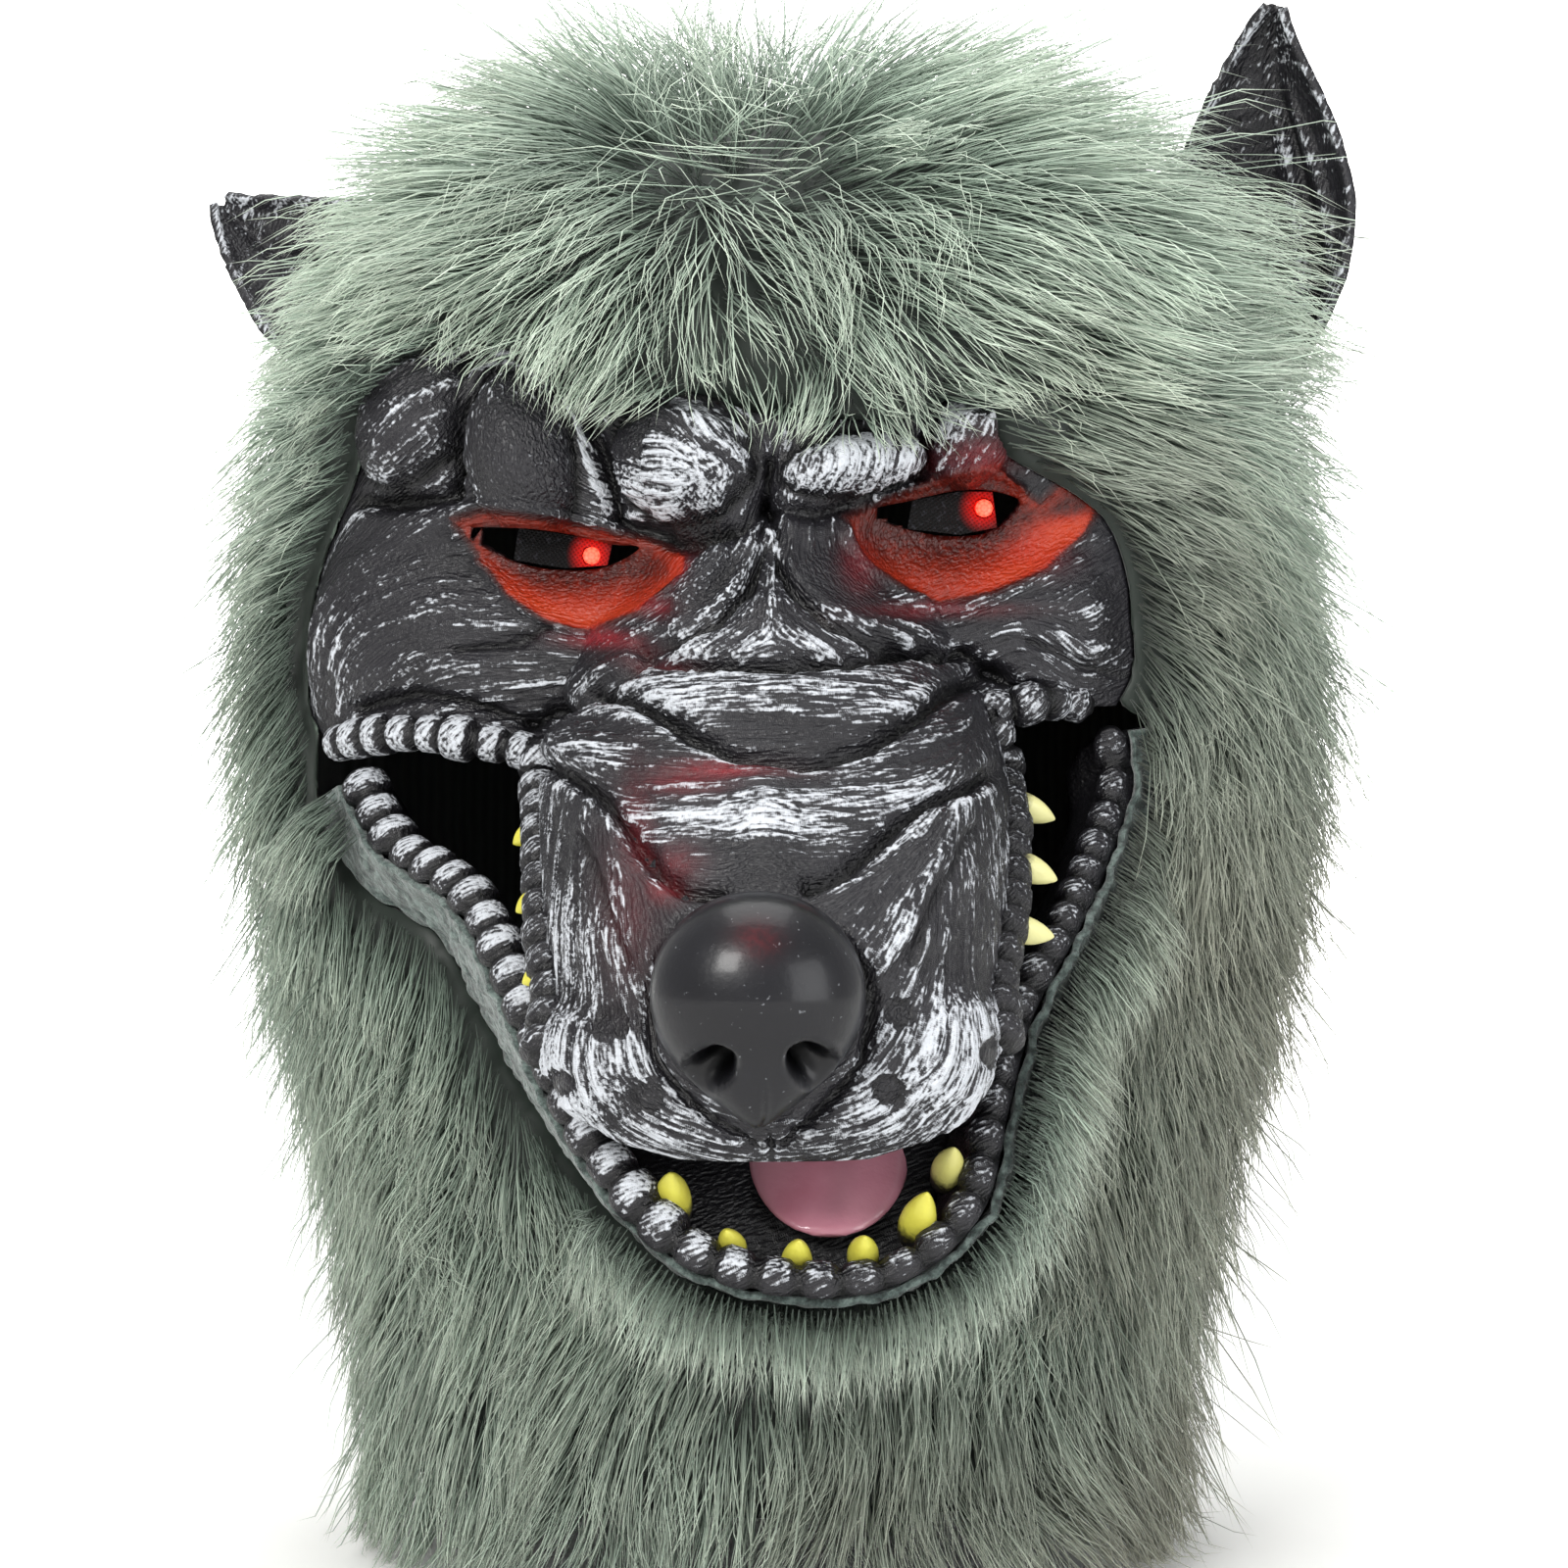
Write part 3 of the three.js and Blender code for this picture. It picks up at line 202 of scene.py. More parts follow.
def tube(rings):  # a closed tube through rings (n, sides, 3)
    n, sides = rings.shape[:2]
    points = np.vstack([rings.reshape(-1, 3), rings[0].mean(0), rings[-1].mean(0)])
    quads = gridFaces(n, sides, wrapCols=True)
    k = np.arange(sides)
    first = np.stack([k, (k + 1) % sides, np.full(sides, n * sides)], 1)
    base = (n - 1) * sides
    last = np.stack([base + (k + 1) % sides, base + k, np.full(sides, n * sides + 1)], 1)
    return points, [quads, np.vstack([first, last])]


def joined(parts):  # several (points, face sets) as one
    points, sets, start = [], [], 0
    for p, fs in parts:
        points.append(p)
        sets += [f + start for f in fs]
        start += len(p)
    return np.vstack(points), sets


def stackOf(*values):  # values of a grid side by side, plain numbers spread over it
    return np.stack(np.broadcast_arrays(*values), -1).astype(float)


def wallMarks(marks, inner=(0, 0, 0, 0)):  # marks for both sides of a wall from wallFromGrid
    inside = np.tile(np.array(inner, float), (marks[::2, ::2].size // 4, 1))
    return np.vstack([marks.reshape(-1, 4), inside])


def alike(normals, towards):  # normals turned to the side that they point to on the whole
    return normals * (1 if (normals * towards).sum(-1).mean() > 0 else -1)


# Node materials
def addNode(tree, kind, feeds=None, settings=None):
    # one node: its settings, then a value, a hex color or a link for each socket; gives back its outputs
    node = tree.nodes.new("ShaderNode" + kind)
    for key, value in (settings or {}).items():
        if key == "stops":
            ramp = node.color_ramp.elements
            ramp.remove(ramp[-1])
            for k, (at, color) in enumerate(value):
                stop = ramp.new(at) if k else ramp[0]
                stop.position, stop.color = at, hexColor(color)
        else:
            setattr(node, key, value)
    for key, value in (feeds or {}).items():
        if isinstance(value, bpy.types.NodeSocket):
            tree.links.new(value, node.inputs[key])
        else:
            node.inputs[key].default_value = hexColor(value) if isinstance(value, str) else value
    return node.outputs


def newMaterial(name):
    material = bpy.data.materials.new(name)
    material.use_nodes = True
    material.node_tree.nodes.clear()
    return material, material.node_tree


def finishMaterial(tree, feeds):
    addNode(tree, "OutputMaterial", {0: addNode(tree, "BsdfPrincipled", feeds)[0]})


# settings that many nodes share
blend = {"data_type": "RGBA"}  # color mix: factor in socket 0, colors in 6 and 7, the result in output 2
times = {"operation": "MULTIPLY"}
timesClamped = {"operation": "MULTIPLY", "use_clamp": True}
timesPlus = {"operation": "MULTIPLY_ADD"}


# Front drawing
# The front is drawn 1600 units square, from 1.2 m in front of the eyes and a little above them.
view = {"distance": 1200, "pitch": 4, "aim": (3.9, -108, -178), "unit": 0.26}
pitch = math.radians(view["pitch"])
lookWay = np.array([0, math.cos(pitch), -math.sin(pitch)])
lookUp = np.array([0, math.sin(pitch), math.cos(pitch)])
eyePoint = np.array(view["aim"]) - lookWay * view["distance"]


def drawnAt(points):  # places of points in the front drawing
    ray = points - eyePoint
    depth = ray @ lookWay
    scale = view["distance"] / view["unit"]
    return 800 + ray[..., 0] / depth * scale, 800 - (ray @ lookUp) / depth * scale


# Hood form
hood = {
    "halfWidth": 134, "front": 106, "back": 114, "drop": 380, "square": 2.3, "cloth": 2,
    "at": [0, .006, .028, .072, .14, .225, .32, .43, .55, .68, .8, .9, 1],
    "wide": [0, .24, .48, .68, .83, .93, .99, 1, .96, .88, .80, .77, .76],
    "deep": [0, .26, .52, .74, .90, .98, 1, 1, .96, .90, .84, .82, .82],
}


def hoodSection(drop, grow):
    drop = np.asarray(drop, float)
    share = drop / hood["drop"]
    wide = np.interp(share, hood["at"], hood["wide"]) * hood["halfWidth"]
    step = 0.01
    near = np.interp(np.maximum(0, share - step), hood["at"], hood["wide"]) * hood["halfWidth"]
    far = np.interp(np.minimum(1, share + step), hood["at"], hood["wide"]) * hood["halfWidth"]
    slope = unit(np.stack([np.full_like(share, 2 * step * hood["drop"]), far - near], -1))
    deep = np.interp(share, hood["at"], hood["deep"])
    return (wide + slope[..., 0] * grow, deep * hood["front"] + slope[..., 0] * grow,
            deep * hood["back"] + slope[..., 0] * grow, -drop + slope[..., 1] * grow)


def hoodPoint(drop, angle, grow):
    half, front, back, z = hoodSection(drop, grow)
    power = 2 / hood["square"]
    c, s = np.cos(angle), np.sin(angle)
    x = np.sign(c) * np.abs(c) ** power * half
    y = np.sign(s) * np.abs(s) ** power * np.where(s < 0, front, back)
    return np.stack(np.broadcast_arrays(x, y, z), -1)


def hoodFrontAt(x, z):
    half, front, _, _ = hoodSection(np.clip(-np.asarray(z, float), 2, hood["drop"]), hood["cloth"])
    side = np.minimum(0.999, np.abs(x) / half)
    return -front * (1 - side ** hood["square"]) ** (1 / hood["square"])


# Moulded face: main form
face = {
    "halfWidth": 130, "drop": 264, "reach": 116, "muzzleHalf": 62, "lean": 1.5, "wall": 2.4, "bridge": 0.85,
    "rowDrops": [.225, .265, .305, .345, .385, .425, .465, .505, .54, .57, .60, .622, .645, .675, .71, .75,
                 .80, .85, .905, .95, .98, 1.0],
    "rowSteps": 10, "columns": (56, 156, 34), "leftCorner": .645, "rightCorner": .60,
    "leftDrop": [.225, .25, .31, .38, .43, .50, .575, .615, .645],
    "leftOut": [.62, .74, .84, .88, .93, .975, .995, .985, .94],
    "rightDrop": [.225, .28, .33, .37, .42, .49, .56, .60],
    "rightOut": [.42, .45, .53, .62, .71, .75, .76, .72],
    "dipOut": [-.62, -.45, -.30, -.18, 0, .25, .38], "dip": [0, .03, .075, .055, .08, .085, .06],
    "muzzleDrop": [.22, .40, .47, .53, .59, .65, .70, .75, .80, .86, .92, .96, .98, 1],
    "muzzleReach": [.05, .11, .18, .30, .43, .58, .73, .87, .94, .96, 1, 1, .98, .94],
    "muzzleWide": [.40, .48, .62, .78, .90, .97, 1, 1, 1, 1, 1.05, 1.07, 1.04, .84],
    "muzzleRound": [1, 1, .8, .5, .2, 0, 0, 0, 0, 0, 0, 0, 0, 0],
    "muzzleLip": [0, 0, 0, 0, 0, 0, .16, .32, .46, .61, .76, .86, .90, .91],
}


def muzzle(key, share):
    return readCurve(face["muzzleDrop"], face[key], share)


def muzzleSideAt(share):
    gap = np.clip(muzzle("muzzleLip", share) / muzzle("muzzleReach", share), 0, 1)
    return (1 - gap ** 3) ** (1 / 3)


def muzzleCentre(share):
    return face["lean"] * smoothStep(.45, .70, share)


def faceBase(x, z):
    share = -z / face["drop"]
    wide = muzzle("muzzleWide", share) * face["muzzleHalf"]
    side = np.minimum(1, np.abs(x - muzzleCentre(share)) / wide)
    round_ = muzzle("muzzleRound", share)
    shape = (1 - side ** (3 - round_)) ** (1 / 3 + (1.5 - 1 / 3) * round_)
    y = hoodFrontAt(x, z) - muzzle("muzzleReach", share) * face["reach"] * shape
    return np.stack(np.broadcast_arrays(x, y, z), -1)


def faceRow(share):
    wide = muzzle("muzzleWide", share) * face["muzzleHalf"]
    centre = float(muzzleCentre(share))
    bridge = face["bridge"] * face["muzzleHalf"] if share < face["leftCorner"] else 0
    fold = max(bridge, float(wide * muzzleSideAt(share)))
    left = -readCurve(face["leftDrop"], face["leftOut"], share) * face["halfWidth"]
    right = readCurve(face["rightDrop"], face["rightOut"], share) * face["halfWidth"]
    seams = [min(left, centre - fold), centre - fold, centre + fold, max(right, centre + fold)]
    row = []
    for k, count in enumerate(face["columns"]):
        u = np.linspace(0, 1, 400)
        t = 0.7 * (1 - np.cos(u * math.pi)) / 2 + 0.3 * u
        x = seams[k] + (seams[k + 1] - seams[k]) * t
        dip = readCurve(face["dipOut"], face["dip"], x / face["halfWidth"])
        fade = 1 - smoothStep(face["rowDrops"][0], face["rowDrops"][0] + .20, share)
        trail = faceBase(x, -share * face["drop"] - dip * face["drop"] * fade)
        row.append(evenRun(trail, count + 1)[(1 if k else 0):])
    return np.vstack(row)


rowShares = np.concatenate([np.linspace(a, b, face["rowSteps"], endpoint=False)
                            for a, b in zip(face["rowDrops"][:-1], face["rowDrops"][1:])] + [[1.0]])
faceGrid = np.stack([faceRow(s) for s in rowShares])
faceNormals = gridNormals(faceGrid)
if faceNormals[100, 120, 1] > 0:
    faceNormals = -faceNormals
drawX, drawY = drawnAt(faceGrid)
print("face form", faceGrid.shape)

# Moulded face: relief
# Places and sizes are in units of the front drawing, heights in millimetres.
relief = {
    "domes": [  # x, y, half along, half across, turn of the long side in degrees, height, power of the edge
        (430, 424, 86, 52, -60, 15, .7), (533, 462, 60, 112, -12, 15, .85), (697, 468, 78, 72, 10, 17, .75),
        (872, 474, 92, 38, -8, 11, .8), (990, 446, 44, 62, 20, 14, .8),
        (717, 590, 92, 27, -50, 6, 1), (785, 625, 88, 62, 0, 5, 1.2), (598, 1085, 78, 120, -10, 6, 1.2),
        (970, 1070, 86, 125, 10, 6, 1.2), (780, 850, 60, 100, 0, 4, 1.2), (600, 830, 50, 120, -14, 4, 1.2),
        (960, 860, 60, 130, 18, 4, 1.2),
    ],
    "bulges": [  # soft: x, y, half width, half height, height
        (352, 640, 120, 105, 7), (1100, 640, 80, 80, 3.5),
        (780, 712, 190, 24, 3.5), (775, 815, 130, 34, 3), (470, 690, 110, 40, 2), (585, 765, 55, 30, 2),
        (560, 575, 150, 44, -9), (985, 548, 130, 46, -8), (785, 500, 26, 40, -4),
    ],
    "grooves": [  # depth, half width, run of places
        (5.5, 8, [(540, 742), (575, 724), (615, 697), (657, 671), (700, 673), (780, 677), (860, 673),
                  (930, 661), (985, 668), (1040, 703), (1085, 720)]),
        (4, 7, [(372, 722), (430, 708), (480, 716), (534, 738)]),
        (5, 8.5, [(600, 704), (640, 714), (673, 728), (711, 751), (750, 770), (826, 778), (884, 762),
                  (941, 728), (979, 699), (1020, 690)]),
        (5, 8, [(560, 782), (590, 797), (616, 815), (646, 854), (673, 889), (696, 906), (734, 912)]),
        (5, 8, [(1010, 790), (991, 803), (941, 824), (903, 854), (857, 889), (825, 904)]),
        (5, 8, [(778, 512), (778, 555), (762, 600), (729, 630), (690, 648), (650, 660)]),
        (5, 8, [(792, 520), (796, 575), (816, 606), (850, 632), (900, 652), (960, 662)]),
        (3, 5, [(785, 470), (785, 520)]),
        (7, 8, [(516, 380), (500, 404), (485, 430), (472, 467), (459, 496)]),
        (6, 9, [(460, 505), (420, 512), (368, 512)]),
        (6, 9, [(600, 430), (618, 480), (630, 530)]),
        (5, 8, [(640, 540), (700, 552), (750, 540), (780, 505)]),
        (4, 7, [(944, 400), (948, 450), (938, 488)]),
        (3.5, 7, [(792, 515), (838, 524), (884, 512)]),
        (4, 5, [(786, 1166), (789, 1196)]),
        (3.5, 6, [(700, 945), (672, 985), (659, 1030), (664, 1075), (690, 1115), (730, 1148), (770, 1172)]),
        (3.5, 6, [(850, 950), (884, 990), (893, 1030), (882, 1080), (858, 1115), (830, 1140), (800, 1170)]),
        (2.5, 5, [(560, 640), (520, 660), (470, 664)]), (2, 5, [(600, 860), (620, 930), (640, 980)]),
        (2, 5, [(985, 850), (950, 920), (930, 980)]), (2, 5, [(1050, 655), (1100, 680), (1150, 690)]),
    ],
    "ridges": [  # height, half width, run of places
        (2.6, 6, [(480, 572), (510, 600), (545, 626), (590, 642), (620, 640), (655, 622), (690, 588)]),
        (2.4, 5, [(462, 545), (466, 522), (495, 516), (540, 524), (590, 530), (640, 545)]),
        (2.2, 6, [(868, 540), (890, 575), (925, 604), (960, 624), (1010, 612), (1062, 584), (1100, 548),
                  (1128, 508)]),
        (2.4, 5, [(880, 512), (930, 498), (984, 484), (1020, 484), (1044, 500)]),
        (2, 6, [(785, 535), (755, 590), (725, 625), (690, 640)]),
        (2, 6, [(785, 535), (815, 595), (850, 622), (890, 640)]),
        (2.2, 5, [(552, 1085), (565, 1125), (600, 1158), (650, 1180), (720, 1190), (770, 1184)]),
        (2.2, 5, [(806, 1184), (850, 1190), (920, 1184), (985, 1150), (1025, 1100), (1040, 1050)]),
    ],
    "discs": [(628, 1045, 14), (660, 1120, 15), (589, 1104, 13), (917, 1033, 14), (996, 1076, 13),
              (907, 1112, 15), (1028, 1043, 8)],
    "rimRows": 5, "strokeDepth": 0.85, "soften": 5.0,
}


def runDistance(x, y, run):
    best = np.full(np.shape(x), 1e9)
    for (ax, ay), (bx, by) in zip(run[:-1], run[1:]):
        t = np.clip(((x - ax) * (bx - ax) + (y - ay) * (by - ay)) / ((bx - ax) ** 2 + (by - ay) ** 2), 0, 1)
        best = np.minimum(best, np.hypot(x - ax - t * (bx - ax), y - ay - t * (by - ay)))
    return best


def reliefAt(x, y):
    height = np.zeros(np.shape(x))
    for cx, cy, w, h, rise in relief["bulges"]:
        height += rise * np.exp(-(((x - cx) / w) ** 2 + ((y - cy) / h) ** 2) * 1.4)
    lump = np.zeros(np.shape(x))
    for cx, cy, a, b, turn, rise, power in relief["domes"]:
        c, s = math.cos(math.radians(turn)), math.sin(math.radians(turn))
        u, v = (x - cx) * c + (y - cy) * s, -(x - cx) * s + (y - cy) * c
        dome = rise * np.clip(1 - (u / a) ** 2 - (v / b) ** 2, 0, 1) ** power
        gap = np.clip(0.5 + (dome - lump) / relief["soften"] / 2, 0, 1)
        lump = lump * (1 - gap) + dome * gap + relief["soften"] / 2 * gap * (1
                                                                             - gap) * (dome > 0) * (lump > 0)
    height += lump
    for depth, width, run in relief["grooves"]:
        height -= depth * np.exp(-(runDistance(x, y, run) / width) ** 2)
    for rise, width, run in relief["ridges"]:
        height += rise * np.exp(-(runDistance(x, y, run) / width) ** 2)
    for cx, cy, r in relief["discs"]:
        away = np.hypot(x - cx, y - cy)
        height -= 1.3 * np.exp(-((away - r) / 2.4) ** 2) + 0.9 * smoothStep(r, r - 2, away)
    return height


# Hair strokes pressed into the mould: their direction at places of the front drawing
strokeWays = [
    (430, 430, .87, -.5), (400, 470, .9, -.4), (480, 370, .8, -.6), (530, 450, .15, 1), (570, 420, .5, .85),
    (690, 470, 1, .1), (650, 500, .9, .3), (740, 440, .7, .7), (340, 600, .8, -.6), (330, 680, .6, -.8),
    (380, 560, .9, -.35), (430, 620, .95, -.25), (430, 700, .9, -.4), (500, 660, 1, -.05),
    (560, 700, 1, -.15),
    (360, 740, .55, -.83), (470, 600, 1, .05), (560, 640, .97, .25), (720, 590, .65, -.75),
    (760, 540, .3, -.95),
    (785, 600, 0, 1), (740, 630, .7, -.7), (830, 630, .7, .7), (650, 700, .95, .3), (780, 710, 1, 0),
    (900, 700, .95, -.3), (980, 680, .9, -.2), (600, 750, .85, .5), (660, 790, .9, .45), (720, 830, 1, .15),
    (780, 850, 1, 0), (840, 830, .95, -.25), (900, 790, .85, -.5), (960, 750, .75, -.65),
    (1010, 710, .7, -.7),
    (680, 860, .95, .2), (570, 850, .25, .97), (600, 850, .45, .9), (640, 930, .4, .9), (580, 950, .12, 1),
    (650, 1000, .3, .95), (560, 1050, .1, 1), (600, 1120, .4, .9), (680, 1160, .95, .3),
    (920, 880, .65, -.75),
    (980, 840, .55, -.83), (1020, 780, .4, -.9), (1030, 900, .05, 1), (980, 950, .35, -.94),
    (920, 980, .6, -.8),
    (1000, 1050, .3, -.95), (950, 1120, .7, -.7), (1030, 1000, .05, 1), (880, 1170, .95, -.2),
    (870, 470, .25, -.97),
    (920, 470, .2, -.98), (820, 480, .35, -.93), (990, 430, .6, -.8), (960, 440, .5, -.85),
    (1100, 600, .9, -.4),
    (1130, 650, .9, -.35), (1080, 660, .8, .5),
]


def strokeField(grid, x, y, seed):
    # noise drawn out along the stroke directions, as a brush or a modelling comb leaves it
    places = np.array(strokeWays)
    turn = 2 * np.arctan2(places[:, 3], places[:, 2])
    away = (x[..., None] - places[:, 0]) ** 2 + (y[..., None] - places[:, 1]) ** 2
    weight = 1 / (away + 120) ** 1.5
    angle = np.arctan2((weight * np.sin(turn)).sum(-1), (weight * np.cos(turn)).sum(-1)) / 2
    way = np.stack([np.cos(angle), np.zeros_like(angle), -np.sin(angle)], -1)
    down, across = np.gradient(grid, axis=0), np.gradient(grid, axis=1)
    dd, da, aa = (down * down).sum(-1), (down * across).sum(-1), (across * across).sum(-1)
    wd, wa = (way * down).sum(-1), (way * across).sum(-1)
    det = np.maximum(dd * aa - da * da, 1e-6)
    stepI, stepJ = (wd * aa - wa * da) / det, (wa * dd - wd * da) / det
    size = np.hypot(stepI, stepJ)
    stepI, stepJ = stepI / size, stepJ / size
    rng = np.random.default_rng(seed)
    noise = rng.random(grid.shape[:2])
    total = noise.copy()
    rows, cols = noise.shape
    for sign in (1, -1):
        i, j = np.meshgrid(np.arange(rows, dtype=float), np.arange(cols, dtype=float), indexing="ij")
        vi, vj = stepI * sign, stepJ * sign
        for _ in range(14):
            i, j = np.clip(i + vi * .8, 0, rows - 1.01), np.clip(j + vj * .8, 0, cols - 1.01)
            a, b = i.astype(int), j.astype(int)
            fi, fj = i - a, j - b
            total += (noise[a, b] * (1 - fi) * (1 - fj) + noise[a + 1, b] * fi * (1 - fj)
                      + noise[a, b + 1] * (1 - fi) * fj + noise[a + 1, b + 1] * fi * fj)
            near = np.rint(i).astype(int), np.rint(j).astype(int)
            ni, nj = stepI[near], stepJ[near]
            flip = np.where(ni * vi + nj * vj < 0, -1, 1)
            vi, vj = ni * flip, nj * flip
    total = (total - total.mean()) / total.std()
    flow = unit(stepI[..., None] * down + stepJ[..., None] * across)
    return np.clip(total / 2.2, -1, 1), np.concatenate([flow, np.zeros(flow.shape[:2] + (1,))], -1)


strokes, strokeFlow = strokeField(faceGrid, drawX, drawY, 5)
plain = np.zeros(drawX.shape)  # where the mould is smooth
for cx, cy, w, h in ((545, 470, 50, 70), (590, 590, 110, 44), (980, 560, 110, 50), (777, 990, 100, 110),
                     (650, 445, 24, 22), (780, 900, 50, 30), (720, 590, 50, 40), (860, 590, 50, 40)):
    plain = np.maximum(plain, smoothStep(1.25, .7, np.hypot((drawX - cx) / w, (drawY - cy) / h)))
for cx, cy, r in relief["discs"]:
    plain = np.maximum(plain, smoothStep(r + 1, r - 2, np.hypot(drawX - cx, drawY - cy)))
rows, cols = drawX.shape
edgeI = np.minimum(np.arange(rows), rows - 1 - np.arange(rows))[:, None] / (2 * relief["rimRows"])
edgeJ = np.minimum(np.arange(cols), cols - 1 - np.arange(cols))[None, :] / (2 * relief["rimRows"])
rim = smoothStep(0, 1, np.minimum(edgeI, edgeJ))
heights = reliefAt(drawX, drawY)
form = faceGrid + faceNormals * (heights * rim)[..., None]
formNormals = gridNormals(form)
formNormals *= np.sign((formNormals * faceNormals).sum(-1))[..., None]
form = form + formNormals * (strokes * relief["strokeDepth"] * (1 - plain) * rim)[..., None]


def blur(values, times):
    for _ in range(times):
        values = np.pad(values, 1, mode="edge")
        values = (values[:-2, 1:-1] + values[2:, 1:-1] + values[1:-1, :-2] + values[1:-1, 2:]
                  + 2 * values[1:-1, 1:-1]) / 6
    return values


proud = np.clip((heights - blur(heights, 24)) / 2.2, -1, 1)
print("face relief")

# Painted marks, in units of the front drawing
paint = {
    "silver": [  # x, y, half width, half height, strength
        (697, 492, 66, 48, .75), (735, 440, 40, 46, .55), (500, 362, 60, 20, .6), (425, 440, 60, 26, .25),
        (600, 460, 26, 60, .45), (780, 708, 200, 34, .62), (785, 652, 120, 14, .55), (560, 690, 70, 18, .4),
        (420, 640, 130, 90, .26), (350, 690, 50, 80, .4), (760, 832, 130, 34, .62), (600, 790, 60, 46, .5),
        (900, 800, 90, 60, .45), (1100, 660, 50, 50, .45), (585, 900, 46, 120, .35), (595, 1120, 80, 70, .82),
        (650, 1155, 90, 40, .75), (940, 1130, 90, 60, .7), (985, 1090, 84, 100, .76), (590, 980, 50, 90, .6),
        (900, 960, 40, 60, .5), (1000, 920, 60, 110, .4), (960, 840, 60, 60, .4), (870, 470, 84, 40, .8),
        (990, 425, 40, 30, .7), (720, 1185, 110, 22, .5), (880, 1185, 110, 22, .5), (640, 980, 40, 80, .3),
        (735, 625, 60, 30, .35), (900, 600, 30, 20, .3), (560, 1010, 20, 120, .3), (1040, 1000, 20, 120, .45),
    ],
    "bare": [(650, 447, 26, 24), (545, 480, 44, 62), (777, 960, 96, 70), (780, 902, 60, 34),
             (860, 585, 56, 34), (500, 655, 80, 16)],
    "silverRuns": [  # strength, half width, run
        (.9, 7, [(486, 354), (518, 358), (566, 395), (590, 437), (602, 480), (618, 515)]),
        (.7, 7, [(784, 540), (755, 592), (725, 628), (690, 645)]),
        (.6, 7, [(786, 540), (815, 597), (850, 624), (890, 642)]),
        (.8, 5, [(686, 955), (664, 990), (655, 1030), (660, 1075), (684, 1118), (724, 1152)]),
        (.7, 5, [(845, 915), (880, 890), (915, 862), (950, 838), (1000, 812)]),
        (.6, 5, [(560, 800), (612, 825), (640, 862), (668, 900)]),
        (.6, 8, [(660, 662), (700, 664), (780, 668), (860, 664), (930, 652)]),
        (.6, 7, [(640, 724), (700, 760), (760, 786), (830, 792), (900, 776)]),
        (.5, 6, [(520, 648), (560, 664), (600, 672)]), (.5, 6, [(872, 560), (900, 600), (950, 628)]),
    ],
    "crimson": [(612, 652, 36, 9, .9), (694, 582, 14, 22, .55), (668, 618, 22, 12, .5),
                (740, 788, 60, 12, .7), (700, 800, 46, 14, .45), (650, 850, 18, 60, .3),
                (676, 905, 20, 18, .5), (640, 930, 30, 70, .16), (690, 880, 26, 20, .3),
                (665, 672, 34, 8, .3), (880, 575, 20, 30, .35), (960, 622, 70, 8, .4),
                (990, 470, 40, 18, .5), (1064, 566, 30, 20, .3), (772, 960, 26, 24, .12)],
}
eyeShapes = {  # slits as shares of the face's half width and drop, painted sockets in the front drawing
    "left": {
        "upper": [(-.635, .421), (-.52, .418), (-.42, .423), (-.32, .434), (-.265, .437)],
        "lower": [(-.635, .421), (-.53, .451), (-.42, .460), (-.33, .456), (-.265, .437)],
        "socket": [(462, 530), (495, 521), (545, 529), (600, 538), (650, 548), (692, 560), (690, 584),
                   (655, 625), (612, 645), (560, 632), (515, 606), (482, 572)],
    },
    "right": {
        "upper": [(.20, .402), (.29, .390), (.39, .380), (.46, .381), (.515, .392)],
        "lower": [(.20, .402), (.28, .419), (.39, .426), (.47, .418), (.515, .392)],
        "socket": [(868, 526), (900, 512), (950, 490), (1010, 470), (1046, 500), (1064, 512), (1086, 486),
                   (1112, 484), (1128, 505), (1108, 542), (1066, 580), (1012, 604), (960, 616), (915, 596),
                   (884, 566)],
    },
}


def insideRun(x, y, ring):  # true inside a closed outline
    inside = np.zeros(np.shape(x), bool)
    for (ax, ay), (bx, by) in zip(ring, ring[1:] + ring[:1]):
        cross = (ay > y) != (by > y)
        inside ^= cross & (x < (bx - ax) * (y - ay) / (by - ay + 1e-9) + ax)
    return inside


